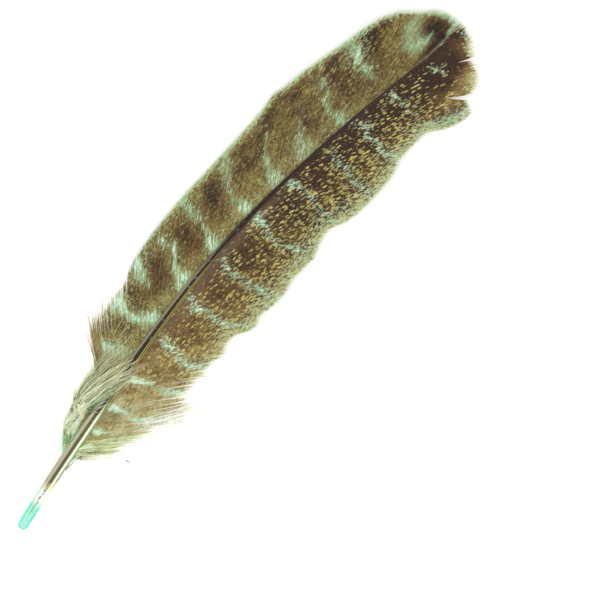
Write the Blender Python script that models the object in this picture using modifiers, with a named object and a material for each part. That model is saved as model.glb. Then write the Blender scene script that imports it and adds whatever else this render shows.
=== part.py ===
"""Turkey wing feather, lying on its back with the grooved underside of its shaft facing up.

The feather runs along +X from the quill tip to the tip of the vanes, +Y is the side of the
narrower left vane and +Z is up. Stations are distances along the shaft's middle line from the
quill tip, and widths are distances out from that line. Both are in millimetres.
"""

import math

import bmesh
import bpy
import numpy as np
from mathutils import Vector

MM = 0.001
COLLECTION = "turkey_wing_feather"
LEFT = 1.0
RIGHT = -1.0

# Driving dimensions.
SHAFT_LENGTH = 295.0
GAP = 0.3
VANE_THICKNESS = 0.6
DOWN_THICKNESS = 1.4

# How the feather lies: flat between two stations, and rising to each end.
FLAT_START = 60.0
FLAT_END = 200.0
QUILL_LIFT = 3.0
TIP_LIFT = 8.5
TIP_RUN = 100.0

# The vanes leave the shaft a little above its base, come down to the ground and curl up outwards.
ROOT_HEIGHT = 0.25
ROOT_RUN = 9.0
CURL_START = 10.0
CURL_RUN = 20.0
CURL_POWER = 1.7
LEFT_CURL = 3.0
RIGHT_CURL = 3.4
CLEARANCE = 0.02

# Middle line of the shaft from above: (distance along the chord, offset to the left).
SHAFT_BOW = [(-6, -1.3), (0, -0.45), (12, 1.35), (35, 4.45), (73, 8.75), (112, 12.15),
             (142, 13.55), (175, 13.0), (208, 10.15), (238, 6.2), (262, 2.1), (277, -0.55),
             (286, -1.5), (293, -2.0), (308, -3.1)]

# The shaft's full width and height: (station, size).
SHAFT_WIDTH = [(0, 4.4), (4, 4.8), (12, 4.9), (30, 5.2), (46, 5.5), (60, 5.2), (72, 4.7),
               (100, 4.1), (130, 3.4), (160, 2.7), (200, 1.8), (240, 1.2), (270, 0.75), (295, 0.4)]
SHAFT_HEIGHT = [(0, 3.6), (4, 4.1), (12, 4.4), (30, 4.9), (46, 5.2), (60, 5.0), (72, 4.6),
                (100, 4.0), (130, 3.3), (160, 2.6), (200, 1.75), (240, 1.15), (270, 0.7), (295, 0.35)]
QUILL_ROUNDING = 2.2
SECTION_POWER = 2.5
GROOVE = [(56, 0.0), (64, 0.26), (90, 0.32), (200, 0.3), (260, 0.15), (290, 0.0)]
GROOVE_WIDTH = 0.36

# Outer edges of the vanes and the down: (station, width).
LEFT_EDGE = [(36, 2.6), (40, 3.8), (44, 5.7), (48, 8.6), (51, 9.8), (56, 10.2), (59, 11.3),
             (72, 12.2), (78, 13.5), (82, 16), (86, 19), (90, 22.3), (95, 24.3), (100, 24.9),
             (112, 24.2), (117, 24.3), (122, 26.3), (128, 27.2), (140, 28.2), (160, 28.7),
             (180, 28.6), (200, 29.6), (212, 30.8), (219, 32.5), (223, 31.7), (232, 31.2),
             (244, 30.1), (256, 29.0), (268, 28.2), (276, 27.0), (280, 26.0), (283, 25.0),
             (286, 23.4), (288.5, 21.2), (291, 18.6), (294, 15.6), (298, 12.4), (300, 9),
             (301, 6), (301.3, 3.5), (301.2, 0)]
RIGHT_EDGE = [(37, 4.0), (40, 6.0), (42, 9), (45, 12.5), (48, 16), (52, 18.5), (55, 19.6),
              (59, 19.4), (62, 21.5), (66, 25), (69, 24), (71, 21.8), (74, 23.2), (77, 25),
              (80, 27.2), (84, 30.3), (88, 32), (90.5, 28.2), (94, 28.5), (104, 29), (112, 29.8),
              (118, 31.5), (121, 30), (126, 29.8), (130, 31.5), (134, 34.2), (138, 35),
              (143, 33.5), (150, 35.2), (160, 35.4), (166, 34), (180, 34.3), (184, 33),
              (190, 30.8), (196, 30), (202, 32.2), (212, 33.6), (222, 33), (232, 31.8), (238, 30),
              (241, 28.4), (250, 26.9), (259, 26.2), (261, 27), (264, 29.2), (270, 31.6),
              (275, 32.5), (279, 32), (281, 28), (282.5, 25.3), (285, 25.2), (288, 23.8),
              (290.5, 21.8), (292.6, 18.8), (293.4, 15.4), (295, 14), (297, 12.5), (299.3, 9.5),
              (300.4, 6), (301, 3), (301.2, 0)]

# Splits in the right vane: (root station of the barbs, width that the split reaches in to).
RIGHT_SPLITS = [(258.5, 20.0), (270.4, 15.8), (274.2, 11.3)]
SPLIT_HALF_WIDTH = 2.0

# How far forward a barb runs for each millimetre outward: (root station, slope), at the shaft and
# at SLOPE_RUN out from it.
SLOPE_RUN = 30.0
LEFT_SLOPE = [(36, 1.1), (66, 0.9), (90, 0.95), (200, 1.1), (229, 1.2), (236, 1.4), (248, 1.8),
              (260, 2.2), (274, 3.5), (290, 5.0), (295, 10.0)]
LEFT_SLOPE_OUT = [(36, 1.8), (66, 1.2), (100, 1.9), (180, 2.1), (218, 2.4), (229, 3.0), (236, 4.4),
                  (248, 6.2), (260, 7.2), (274, 8.0), (290, 9.0), (295, 12.0)]
RIGHT_SLOPE = [(37, 0.55), (60, 0.7), (90, 0.8), (258, 0.8), (273, 0.92), (280, 1.05), (287, 1.35),
               (291, 2.0), (295, 8.0)]
RIGHT_SLOPE_OUT = [(37, 1.15), (90, 1.05), (240, 1.05), (258, 1.0), (265, 1.6), (273, 2.4),
                   (280, 3.1), (287, 3.6), (291, 4.2), (295, 9.0)]

# Root stations of the first and last barbs of each web, and how much of the down is solid.
LEFT_DOWN_ROOTS = (38.0, 67.0)
LEFT_VANE_ROOTS = (68.0, 294.8)
RIGHT_DOWN_ROOTS = (39.0, 46.5)
RIGHT_VANE_ROOTS = (47.5, 294.8)
DOWN_REACH = 0.8

# Fineness of the solids.
SHAFT_SIDES = 20
SHAFT_RINGS = 44
VANE_ROWS = 108
WEB_COLUMNS = 6
DOWN_ROWS = 12
BOW_STEP = 1.0
REACH_STEP = 0.2

# Rows, thickness and share of the full reach for the two kinds of web.
VANE_BUILD = (VANE_ROWS, VANE_THICKNESS, 1.0)
DOWN_BUILD = (DOWN_ROWS, DOWN_THICKNESS, DOWN_REACH)

HORN = (0.10, 0.065, 0.05)
LEFT_BROWN = (0.20, 0.155, 0.075)
RIGHT_BROWN = (0.13, 0.085, 0.05)
DOWN_CREAM = (0.55, 0.55, 0.40)


def smooth(points, at):
    """Read the smooth curve through (place, value) points at one place."""
    if at <= points[0][0]:
        return points[0][1]
    if at >= points[-1][0]:
        return points[-1][1]
    i = next(k for k in range(len(points) - 1) if at <= points[k + 1][0])
    (x0, y0), (x1, y1) = points[i], points[i + 1]
    before = points[max(i - 1, 0)]
    after = points[min(i + 2, len(points) - 1)]
    run = x1 - x0
    start = run * (y1 - before[1]) / (x1 - before[0])
    end = run * (after[1] - y0) / (after[0] - x0)
    t = (at - x0) / run
    return ((2 * t ** 3 - 3 * t ** 2 + 1) * y0 + (t ** 3 - 2 * t ** 2 + t) * start
            + (3 * t ** 2 - 2 * t ** 3) * y1 + (t ** 3 - t ** 2) * end)


def ease(t):
    """Go smoothly from 0 to 1 as t does."""
    t = min(max(t, 0.0), 1.0)
    return t * t * (3 - 2 * t)


BOW_X = np.arange(SHAFT_BOW[0][0], SHAFT_BOW[-1][0] + BOW_STEP, BOW_STEP)
BOW_Y = np.array([smooth(SHAFT_BOW, x) for x in BOW_X])
BOW_STATION = np.concatenate([[0.0], np.cumsum(np.hypot(np.diff(BOW_X), np.diff(BOW_Y)))])
BOW_STATION -= np.interp(0.0, BOW_X, BOW_STATION)


def on_plan(station, width):
    """Where a station and a signed width, positive to the left, lie seen from above."""
    ahead = station + BOW_STEP
    x, y = np.interp(station, BOW_STATION, BOW_X), np.interp(station, BOW_STATION, BOW_Y)
    along = Vector((np.interp(ahead, BOW_STATION, BOW_X) - x, np.interp(ahead, BOW_STATION, BOW_Y) - y))
    along.normalize()
    return x - width * along.y, y + width * along.x


def lift(station):
    """Height of the shaft's lowest line above the ground."""
    quill = max(0.0, (FLAT_START - station) / FLAT_START)
    tip = max(0.0, (station - FLAT_END) / TIP_RUN)
    return QUILL_LIFT * quill ** 2 + TIP_LIFT * tip ** 2


def web_height(station, width, thickness, curl):
    """Height of the middle of a web that leaves the shaft's side, dips and curls up."""
    root = ROOT_HEIGHT * smooth(SHAFT_HEIGHT, station)
    out = width - smooth(SHAFT_WIDTH, station) / 2
    rise = max(0.0, (width - CURL_START) / CURL_RUN)
    return (lift(station) + thickness / 2 + CLEARANCE + root * (1 - ease(out / ROOT_RUN))
            + curl * rise ** CURL_POWER)


def barb_station(root, width, slopes, slopes_out):
    """Station that a barb rooted at one station has reached at a width."""
    slope = smooth(slopes, root)
    bend = (smooth(slopes_out, root) - slope) / SLOPE_RUN
    return root + slope * width + bend * width ** 2 / 2


def barb_reach(root, slopes, slopes_out, edge, splits):
    """Width at which a barb meets the feather's outer edge or a split."""
    width = smooth(SHAFT_WIDTH, root) / 2 + 2 * GAP
    while width < smooth(edge, barb_station(root, width, slopes, slopes_out)):
        width += REACH_STEP
    for split, depth in splits:
        shut = min(1.0, abs(root - split) / SPLIT_HALF_WIDTH)
        width = min(width, depth + (width - depth) * shut)
    return width


def horn_material(name, colour, roughness):
    """A plain material for one piece."""
    material = bpy.data.materials.new(name)
    material.use_nodes = True
    shader = material.node_tree.nodes["Principled BSDF"]
    shader.inputs["Base Color"].default_value = (*colour, 1.0)
    shader.inputs["Roughness"].default_value = roughness
    shader.inputs["Metallic"].default_value = 0.0
    return material


def add_piece(name, cage, material, collection):
    """Make a bmesh into a named, smooth-shaded object of the feather."""
    mesh = bpy.data.meshes.new(name)
    cage.to_mesh(mesh)
    cage.free()
    mesh.shade_smooth()
    mesh.materials.append(material)
    piece = bpy.data.objects.new(name, mesh)
    collection.objects.link(piece)
    return piece


def shaft_point(station, angle):
    """A point of the shaft's skin: a squarish oval with a groove along its top."""
    half_width = smooth(SHAFT_WIDTH, station) / 2
    half_height = smooth(SHAFT_HEIGHT, station) / 2
    rounding = max(0.0, 1 - station / QUILL_ROUNDING)
    shrink = math.sqrt(max(0.04, 1 - rounding ** 2))
    c, s = math.cos(angle), math.sin(angle)
    across = math.copysign(abs(c) ** (2 / SECTION_POWER), c)
    up = math.copysign(abs(s) ** (2 / SECTION_POWER), s)
    if s > 0:
        up -= 2 * smooth(GROOVE, station) * math.exp(-(across / GROOVE_WIDTH) ** 2)
    x, y = on_plan(station, half_width * shrink * across)
    return Vector((x, y, lift(station) + half_height * (1 + shrink * up))) * MM


def build_shaft(collection):
    """The quill and the rachis, one tapering piece of horn."""
    cage = bmesh.new()
    bmesh.ops.create_cone(cage, cap_ends=True, segments=SHAFT_SIDES, radius1=1, radius2=1, depth=1)
    sides = [edge for edge in cage.edges if abs(edge.verts[0].co.z - edge.verts[1].co.z) > 0.5]
    bmesh.ops.subdivide_edges(cage, edges=sides, cuts=SHAFT_RINGS, use_grid_fill=False)
    for vert in cage.verts:
        station = SHAFT_LENGTH * (vert.co.z + 0.5) ** 1.4
        vert.co = shaft_point(station, math.atan2(vert.co.y, vert.co.x))
    return add_piece("shaft", cage, horn_material("shaft_horn", HORN, 0.35), collection)


def build_web(name, side, roots, build, material, collection):
    """A web of barbs: a grid whose rows are barbs, bent to the feather's shape and thickened."""
    rows, thickness, reach_share = build
    left = side == LEFT
    slopes, slopes_out = (LEFT_SLOPE, LEFT_SLOPE_OUT) if left else (RIGHT_SLOPE, RIGHT_SLOPE_OUT)
    edge, curl = (LEFT_EDGE, LEFT_CURL) if left else (RIGHT_EDGE, RIGHT_CURL)
    splits = [] if left else RIGHT_SPLITS
    cage = bmesh.new()
    bmesh.ops.create_grid(cage, x_segments=rows, y_segments=WEB_COLUMNS, size=0.5)
    reaches = {}
    for vert in cage.verts:
        root = roots[0] + (roots[1] - roots[0]) * (vert.co.x + 0.5)
        key = round(root, 3)
        if key not in reaches:
            reaches[key] = reach_share * barb_reach(root, slopes, slopes_out, edge, splits)
        start = smooth(SHAFT_WIDTH, root) / 2 + GAP
        width = start + max(reaches[key] - start, GAP) * (vert.co.y + 0.5)
        station = barb_station(root, width, slopes, slopes_out)
        x, y = on_plan(station, side * width)
        vert.co = Vector((x, y, web_height(station, width, thickness, curl))) * MM
    piece = add_piece(name, cage, material, collection)
    shell = piece.modifiers.new("thickness", "SOLIDIFY")
    shell.thickness = thickness * MM
    shell.offset = 0.0
    return piece


def stand_on_origin(pieces):
    """Shift every piece together, so that the middle of their box's base is the origin."""
    bpy.context.view_layer.update()
    graph = bpy.context.evaluated_depsgraph_get()
    corners = np.array([corner for piece in pieces for corner in piece.evaluated_get(graph).bound_box])
    low, high = corners.min(axis=0), corners.max(axis=0)
    middle = Vector(((low[0] + high[0]) / 2, (low[1] + high[1]) / 2, low[2]))
    for piece in pieces:
        for vert in piece.data.vertices:
            vert.co -= middle


def main():
    """Build the whole feather in an empty scene."""
    for old in list(bpy.data.objects):
        bpy.data.objects.remove(old, do_unlink=True)
    collection = bpy.data.collections.new(COLLECTION)
    bpy.context.scene.collection.children.link(collection)
    left_web = horn_material("left_vane_web", LEFT_BROWN, 0.6)
    right_web = horn_material("right_vane_web", RIGHT_BROWN, 0.6)
    left_fluff = horn_material("left_down_fluff", DOWN_CREAM, 0.8)
    right_fluff = horn_material("right_down_fluff", DOWN_CREAM, 0.8)
    pieces = [
        build_shaft(collection),
        build_web("left_vane", LEFT, LEFT_VANE_ROOTS, VANE_BUILD, left_web, collection),
        build_web("right_vane", RIGHT, RIGHT_VANE_ROOTS, VANE_BUILD, right_web, collection),
        build_web("left_down", LEFT, LEFT_DOWN_ROOTS, DOWN_BUILD, left_fluff, collection),
        build_web("right_down", RIGHT, RIGHT_DOWN_ROOTS, DOWN_BUILD, right_fluff, collection),
    ]
    stand_on_origin(pieces)


main()
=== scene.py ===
"""Turkey wing feather: every barb, the grooved horn shaft and the loose down at its base.

The feather lies on its back along +X, with the narrower left vane towards +Y. Stations run along
the shaft's middle line from the quill tip, and widths run out from that line; both are in
millimetres until a finished mesh is placed on the frame in metres.
"""
import math

import bmesh
import bpy
import numpy as np
from bpy.props import FloatProperty, FloatVectorProperty, IntProperty, PointerProperty
from bpy.types import Operator, Panel, PropertyGroup
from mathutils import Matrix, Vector


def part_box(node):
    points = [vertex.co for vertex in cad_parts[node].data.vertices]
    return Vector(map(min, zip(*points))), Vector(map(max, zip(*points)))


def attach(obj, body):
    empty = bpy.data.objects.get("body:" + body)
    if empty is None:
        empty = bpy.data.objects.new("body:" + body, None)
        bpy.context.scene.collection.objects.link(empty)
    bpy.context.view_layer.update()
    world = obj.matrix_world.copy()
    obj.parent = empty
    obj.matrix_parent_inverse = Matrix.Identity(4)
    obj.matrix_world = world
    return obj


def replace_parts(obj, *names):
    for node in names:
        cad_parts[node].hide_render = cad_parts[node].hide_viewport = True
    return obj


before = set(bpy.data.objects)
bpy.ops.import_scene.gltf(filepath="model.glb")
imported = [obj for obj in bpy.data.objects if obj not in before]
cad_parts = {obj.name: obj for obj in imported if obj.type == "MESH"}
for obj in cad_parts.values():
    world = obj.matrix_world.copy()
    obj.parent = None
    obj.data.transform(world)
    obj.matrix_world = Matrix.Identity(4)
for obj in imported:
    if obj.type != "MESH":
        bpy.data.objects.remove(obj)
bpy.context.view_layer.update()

bl_info = {
    "name": "Turkey Wing Feather",
    "version": (1, 0, 0),
    "blender": (4, 5, 0),
    "location": "View3D > Sidebar > Feather",
    "description": "Builds a barred wing feather barb by barb around its solid model",
    "category": "Add Mesh",
}

MM = 0.001
LEFT = 1.0
RIGHT = -1.0


def screen(red, green, blue):
    """A colour as seen on a screen, 0 to 255, in the shader's own scale."""
    shares = [value / 255 for value in (red, green, blue)]
    return tuple(s / 12.92 if s <= 0.04045 else ((s + 0.055) / 1.055) ** 2.4 for s in shares)


def hue(colour):
    """A chosen colour as a shader socket takes it."""
    return (*colour, 1.0)


# ---------------------------------------------------------------------------------------------
# The feather's shape, as in the solid model
# ---------------------------------------------------------------------------------------------

SHAFT_LENGTH = 295.0
FLAT_START = 60.0
FLAT_END = 200.0
QUILL_LIFT = 3.0
TIP_LIFT = 8.5
TIP_RUN = 100.0
ROOT_HEIGHT = 0.25
ROOT_RUN = 9.0
CURL_START = 10.0
CURL_RUN = 20.0
CURL_POWER = 1.7
WEB_MIDDLE = 0.32
SLOPE_RUN = 30.0
QUILL_ROUNDING = 2.2
SECTION_POWER = 2.5
GROOVE_WIDTH = 0.36

SHAFT_BOW = [(-6, -1.3), (0, -0.45), (12, 1.35), (35, 4.45), (73, 8.75), (112, 12.15),
             (142, 13.55), (175, 13.0), (208, 10.15), (238, 6.2), (262, 2.1), (277, -0.55),
             (286, -1.5), (293, -2.0), (308, -3.1)]
SHAFT_WIDTH = [(0, 4.4), (4, 4.8), (12, 4.9), (30, 5.2), (46, 5.5), (60, 5.2), (72, 4.7),
               (100, 4.1), (130, 3.4), (160, 2.7), (200, 1.8), (240, 1.2), (270, 0.75), (295, 0.4)]
SHAFT_HEIGHT = [(0, 3.6), (4, 4.1), (12, 4.4), (30, 4.9), (46, 5.2), (60, 5.0), (72, 4.6),
                (100, 4.0), (130, 3.3), (160, 2.6), (200, 1.75), (240, 1.15), (270, 0.7), (295, 0.35)]
GROOVE = [(56, 0.0), (64, 0.26), (90, 0.32), (200, 0.3), (260, 0.15), (290, 0.0)]

LEFT_EDGE = [(36, 2.6), (40, 3.8), (44, 5.7), (48, 8.6), (51, 9.8), (56, 10.2), (59, 11.3),
             (72, 12.2), (78, 13.5), (82, 16), (86, 19), (90, 22.3), (95, 24.3), (100, 24.9),
             (112, 24.2), (117, 24.3), (122, 26.3), (128, 27.2), (140, 28.2), (160, 28.7),
             (180, 28.6), (200, 29.6), (212, 30.8), (219, 32.5), (223, 31.7), (232, 31.2),
             (244, 30.1), (256, 29.0), (268, 28.2), (276, 27.0), (280, 26.0), (283, 25.0),
             (286, 23.4), (288.5, 21.2), (291, 18.6), (294, 15.6), (298, 12.4), (300, 9),
             (300.8, 6), (301.2, 3.5), (301.4, 0)]
RIGHT_EDGE = [(37, 4.0), (40, 6.0), (42, 9), (45, 12.5), (48, 16), (52, 18.5), (55, 19.6),
              (59, 19.4), (62, 21.5), (66, 25), (69, 24), (71, 21.8), (74, 23.2), (77, 25),
              (80, 27.2), (84, 30.3), (88, 32), (90.5, 28.2), (94, 28.5), (104, 29), (112, 29.8),
              (118, 31.5), (121, 30), (126, 29.8), (130, 31.5), (134, 34.2), (138, 35),
              (143, 33.5), (150, 35.2), (160, 35.4), (166, 34), (180, 34.3), (184, 33),
              (190, 30.8), (196, 30), (202, 32.2), (212, 33.6), (222, 33), (232, 31.8), (238, 30),
              (241, 28.4), (250, 26.9), (259, 26.2), (261, 27), (264, 29.2), (270, 31.6),
              (275, 32.5), (279, 32), (281, 28), (282.5, 25.3), (285, 25.2), (288, 23.8),
              (290.5, 21.8), (292.6, 18.8), (293.4, 15.4), (295, 14), (297, 12.5), (299.3, 9.5),
              (300.4, 6), (301, 3), (301.2, 0)]
LEFT_SLOPE = [(36, 1.1), (66, 0.9), (90, 0.95), (200, 1.1), (229, 1.2), (236, 1.4), (248, 1.8),
              (260, 2.2), (274, 3.5), (290, 5.0), (293, 9.0), (295, 34.0)]
LEFT_SLOPE_OUT = [(36, 1.8), (66, 1.2), (100, 1.9), (180, 2.1), (218, 2.4), (229, 3.0), (236, 4.4),
                  (248, 6.2), (260, 7.2), (274, 8.0), (290, 9.0), (293, 12.0), (295, 36.0)]
RIGHT_SLOPE = [(37, 0.55), (60, 0.7), (90, 0.8), (258, 0.8), (273, 0.92), (280, 1.05), (287, 1.35),
               (291, 2.2), (293, 5.5), (295, 30.0)]
RIGHT_SLOPE_OUT = [(37, 1.15), (90, 1.05), (240, 1.05), (258, 1.0), (265, 1.6), (273, 2.4),
                   (280, 3.1), (287, 3.6), (291, 4.4), (293, 8.0), (295, 32.0)]

# Splits: (root station, width it reaches in to, how fast it opens, root run that it bends).
LEFT_SPLITS = [(88.0, 17.0, 0.07, 2.5)]
RIGHT_SPLITS = [(258.5, 18.8, 0.23, 4.0), (270.4, 15.8, 0.20, 1.6), (274.2, 11.3, 0.22, 2.4),
                (283.5, 6.5, 0.05, 1.5), (56.5, 17.0, 0.22, 3.0), (165.0, 26.0, 0.06, 2.0)]


def smooth(points, at):
    """Read the smooth curve through (place, value) points at many places."""
    x, y = np.array(points, float).T
    slope = np.empty_like(y)
    slope[1:-1] = (y[2:] - y[:-2]) / (x[2:] - x[:-2])
    slope[0], slope[-1] = (y[1] - y[0]) / (x[1] - x[0]), (y[-1] - y[-2]) / (x[-1] - x[-2])
    at = np.clip(np.asarray(at, float), x[0], x[-1])
    i = np.clip(np.searchsorted(x, at) - 1, 0, len(x) - 2)
    run = x[i + 1] - x[i]
    t = (at - x[i]) / run
    return ((2 * t ** 3 - 3 * t ** 2 + 1) * y[i] + (t ** 3 - 2 * t ** 2 + t) * run * slope[i]
            + (3 * t ** 2 - 2 * t ** 3) * y[i + 1] + (t ** 3 - t ** 2) * run * slope[i + 1])


def ease(t):
    """Go smoothly from 0 to 1 as t does."""
    t = np.clip(t, 0.0, 1.0)
    return t * t * (3 - 2 * t)


def bump(at, middle, spread):
    """A soft hill of height 1 about a middle."""
    return np.exp(-((at - middle) / spread) ** 2)


BOW_X = np.arange(SHAFT_BOW[0][0], SHAFT_BOW[-1][0] + 1.0, 1.0)
BOW_Y = smooth(SHAFT_BOW, BOW_X)
BOW_STATION = np.concatenate([[0.0], np.cumsum(np.hypot(np.diff(BOW_X), np.diff(BOW_Y)))])
BOW_STATION -= np.interp(0.0, BOW_X, BOW_STATION)


def on_plan(station, width):
    """Where stations and signed widths, positive to the left, lie seen from above."""
    x, y = np.interp(station, BOW_STATION, BOW_X), np.interp(station, BOW_STATION, BOW_Y)
    dx = np.interp(station + 1.0, BOW_STATION, BOW_X) - x
    dy = np.interp(station + 1.0, BOW_STATION, BOW_Y) - y
    run = np.hypot(dx, dy)
    return x - width * dy / run, y + width * dx / run


def lift(station):
    """Height of the shaft's lowest line above the ground."""
    quill = np.maximum(0.0, (FLAT_START - station) / FLAT_START)
    tip = np.maximum(0.0, (station - FLAT_END) / TIP_RUN)
    return QUILL_LIFT * quill ** 2 + TIP_LIFT * tip ** 2


def web_height(station, width, curl):
    """Height of the middle of the web: it leaves the shaft, dips to the ground and curls up."""
    root = ROOT_HEIGHT * smooth(SHAFT_HEIGHT, station)
    out = width - smooth(SHAFT_WIDTH, station) / 2
    rise = np.maximum(0.0, (width - CURL_START) / CURL_RUN)
    return lift(station) + WEB_MIDDLE + root * (1 - ease(out / ROOT_RUN)) + curl * rise ** CURL_POWER


def shaft_skin(station, angle):
    """The shaft's skin: a squarish oval with a groove along its top, in millimetres."""
    half_width = smooth(SHAFT_WIDTH, station) / 2
    half_height = smooth(SHAFT_HEIGHT, station) / 2
    rounding = np.maximum(0.0, 1 - station / QUILL_ROUNDING)
    shrink = np.sqrt(np.maximum(0.04, 1 - rounding ** 2))
    c, s = np.cos(angle), np.sin(angle)
    across = np.copysign(np.abs(c) ** (2 / SECTION_POWER), c)
    up = np.copysign(np.abs(s) ** (2 / SECTION_POWER), s)
    up -= np.where(s > 0, 2 * smooth(GROOVE, station) * bump(across, 0.0, GROOVE_WIDTH), 0.0)
    x, y = on_plan(station, half_width * shrink * across)
    return np.stack([x, y, lift(station) + half_height * (1 + shrink * up)], axis=-1), across


def frame_shift():
    """What carries the drawn feather onto the frame: the two shafts' boxes share their middles."""
    station, angle = np.meshgrid(np.linspace(0, SHAFT_LENGTH, 600), np.linspace(0, 2 * math.pi, 60))
    skin = shaft_skin(station.ravel(), angle.ravel())[0]
    low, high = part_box("shaft")
    middle = (skin.min(axis=0) + skin.max(axis=0)) / 2
    return np.array([(low.x + high.x) / 2 / MM - middle[0], (low.y + high.y) / 2 / MM - middle[1], 0.0])


SHIFT = frame_shift()

# One side of the feather: how its barbs run, where its web ends and splits, how high its edge
# curls, and how strongly its loose barbs gather in clumps.
SIDES = {
    LEFT: {"slope": LEFT_SLOPE, "slope_out": LEFT_SLOPE_OUT, "edge": LEFT_EDGE,
           "splits": LEFT_SPLITS, "curl": 3.0, "clumping": 0.35},
    RIGHT: {"slope": RIGHT_SLOPE, "slope_out": RIGHT_SLOPE_OUT, "edge": RIGHT_EDGE,
            "splits": RIGHT_SPLITS, "curl": 3.4, "clumping": 0.55},
}


def barb_station(side, root, width):
    """Station that a barb rooted at one station has reached at a width."""
    slope = smooth(SIDES[side]["slope"], root)
    bend = (smooth(SIDES[side]["slope_out"], root) - slope) / SLOPE_RUN
    return root + slope * width + bend * width ** 2 / 2


def barb_reach(side, root):
    """Width at which each barb meets the outer edge of its vane."""
    widths = np.concatenate([np.arange(0.1, 3.0, 0.02), np.arange(3.0, 42.0, 0.1)])
    station = barb_station(side, root[:, None], widths[None, :])
    edge = SIDES[side]["edge"]
    outside = (widths[None, :] >= smooth(edge, station)) | (station >= edge[-1][0])
    return widths[np.argmax(outside, axis=1)]


# ---------------------------------------------------------------------------------------------
# The markings. Every bar is a line of (width, station, half its breadth, strength), and every
# blot is (station, width, run along, run across, strength). A dark blot of negative strength
# lightens the brown.
# ---------------------------------------------------------------------------------------------

LEFT_BARS = [
    [(3, 92, 2.2, 0.5), (8, 90, 2.5, 0.8), (14, 88, 3.0, 1.0), (19, 88, 2, 0.4)],
    [(2, 110, 3.5, 1.0), (6, 110, 3.2, 1.05), (10, 106.5, 2, 1.0), (16, 105.8, 1.9, 1.1),
     (20, 107, 2.8, 1.2), (25, 108.5, 4, 1.1)],
    [(15, 121.5, 1.2, 0.5), (18, 122, 2, 0.8), (22, 124, 2.8, 0.95), (27, 127, 3, 0.8)],
    [(2, 132.5, 4.5, 0.9), (5, 132.5, 3.6, 0.9), (9, 133.5, 1.8, 0.85), (13, 137.5, 1.1, 0.85),
     (17, 141.2, 1.2, 0.8), (20, 139.5, 1.6, 0.7), (23, 140, 1.8, 0.6), (28, 143, 2.2, 0.5)],
    [(2, 153.3, 3.2, 0.9), (6, 154, 2.6, 0.85), (10, 156, 1.3, 0.65), (15, 157.6, 1.1, 0.6),
     (19, 158, 2.6, 0.6), (26, 158.8, 2.8, 0.5)],
    [(2, 175.5, 3.6, 0.85), (6, 175.5, 3, 0.75), (10, 174, 1.5, 0.65), (13, 175.2, 1.1, 0.65),
     (18, 178.2, 1.3, 0.65), (23, 182, 2.8, 0.55), (28, 184, 3, 0.45)],
    [(2, 193.5, 4.0, 0.7), (6, 194, 3.4, 0.7), (10, 194.8, 2.4, 0.6), (15, 197.8, 1.6, 0.5),
     (20, 203, 1.8, 0.4), (26, 209, 1.5, 0.2)],
    [(2, 212, 5.0, 0.55), (6, 212.5, 4.6, 0.58), (9, 213.5, 4.0, 0.45), (13, 216.5, 3.0, 0.38),
     (20, 225, 2.4, 0.25)],
    [(2, 233.5, 3.0, 0.65), (6, 233.8, 2.8, 0.6), (9, 231.5, 1.8, 0.45), (11, 231.8, 1.6, 0.55),
     (14, 234, 2.4, 0.5), (20, 237, 2.4, 0.4), (28, 241, 2, 0.3)],
    [(2, 256.5, 2, 0.1), (6, 256.5, 2.2, 0.25), (12, 255.6, 2.0, 0.7), (17, 255.2, 1.8, 0.85),
     (20, 256.5, 2.2, 0.9), (24, 257.8, 2.8, 0.8), (28, 259, 3, 0.5)],
]
LEFT_PALE_BLOTS = [
    (283, 6, 7, 2.4, 0.78), (284, 14, 7, 4.4, 0.72), (277, 9.5, 4.5, 3.0, 0.6),
    (291, 17.5, 2.5, 2.5, 0.45), (265, 28, 14, 1.3, 0.5), (296, 1.0, 4.0, 1.5, 0.7),
    (301, 5, 3.0, 6.0, 1.0), (298.5, 12, 2.8, 4.5, 0.9),
]
LEFT_DARK_BLOTS = [
    (100, 14, 4, 7, 0.65), (94, 20, 3, 3, 0.4), (113.5, 16, 4.0, 5.5, 0.65), (115, 21, 3, 3, 0.4),
    (127, 12.5, 6, 4.5, 0.75), (131, 20, 4.5, 5, 0.55), (149, 17, 5, 6.5, 0.7), (147, 11, 5, 3, 0.45),
    (168, 17, 6, 5, 0.9), (166, 11, 4, 3, 0.5), (171, 21.5, 5, 2.5, 0.75), (187, 18, 6, 3.5, 0.7),
    (196, 17.5, 2.8, 1.5, 0.8), (191, 24, 5, 2, 0.4), (203, 22, 4, 1.8, 0.8), (209, 25, 4, 1.8, 0.7),
    (214, 28, 3, 1.4, 0.5), (226, 26, 5, 2.2, 0.75), (221, 20, 4, 1.8, 0.45), (222, 13, 6, 4.5, 0.45),
    (243, 21.5, 4, 4, 0.9), (247, 24.5, 3, 2.5, 0.75), (247, 13, 6, 6, 0.45),
    (265, 21.5, 4.6, 3.2, 1.0), (262, 17, 3.2, 1.6, 0.9), (271, 24, 7, 2.0, 0.8),
    (280, 24, 4.5, 1.8, 0.45), (263, 10.5, 2, 1.2, 0.45), (268, 7, 1.8, 1.0, 0.5),
    (291.6, 6.2, 5.2, 4.2, 2.1), (283, 1.6, 8.5, 1.3, 1.2), (291, 1.5, 5, 1.6, 1.3),
]
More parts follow.
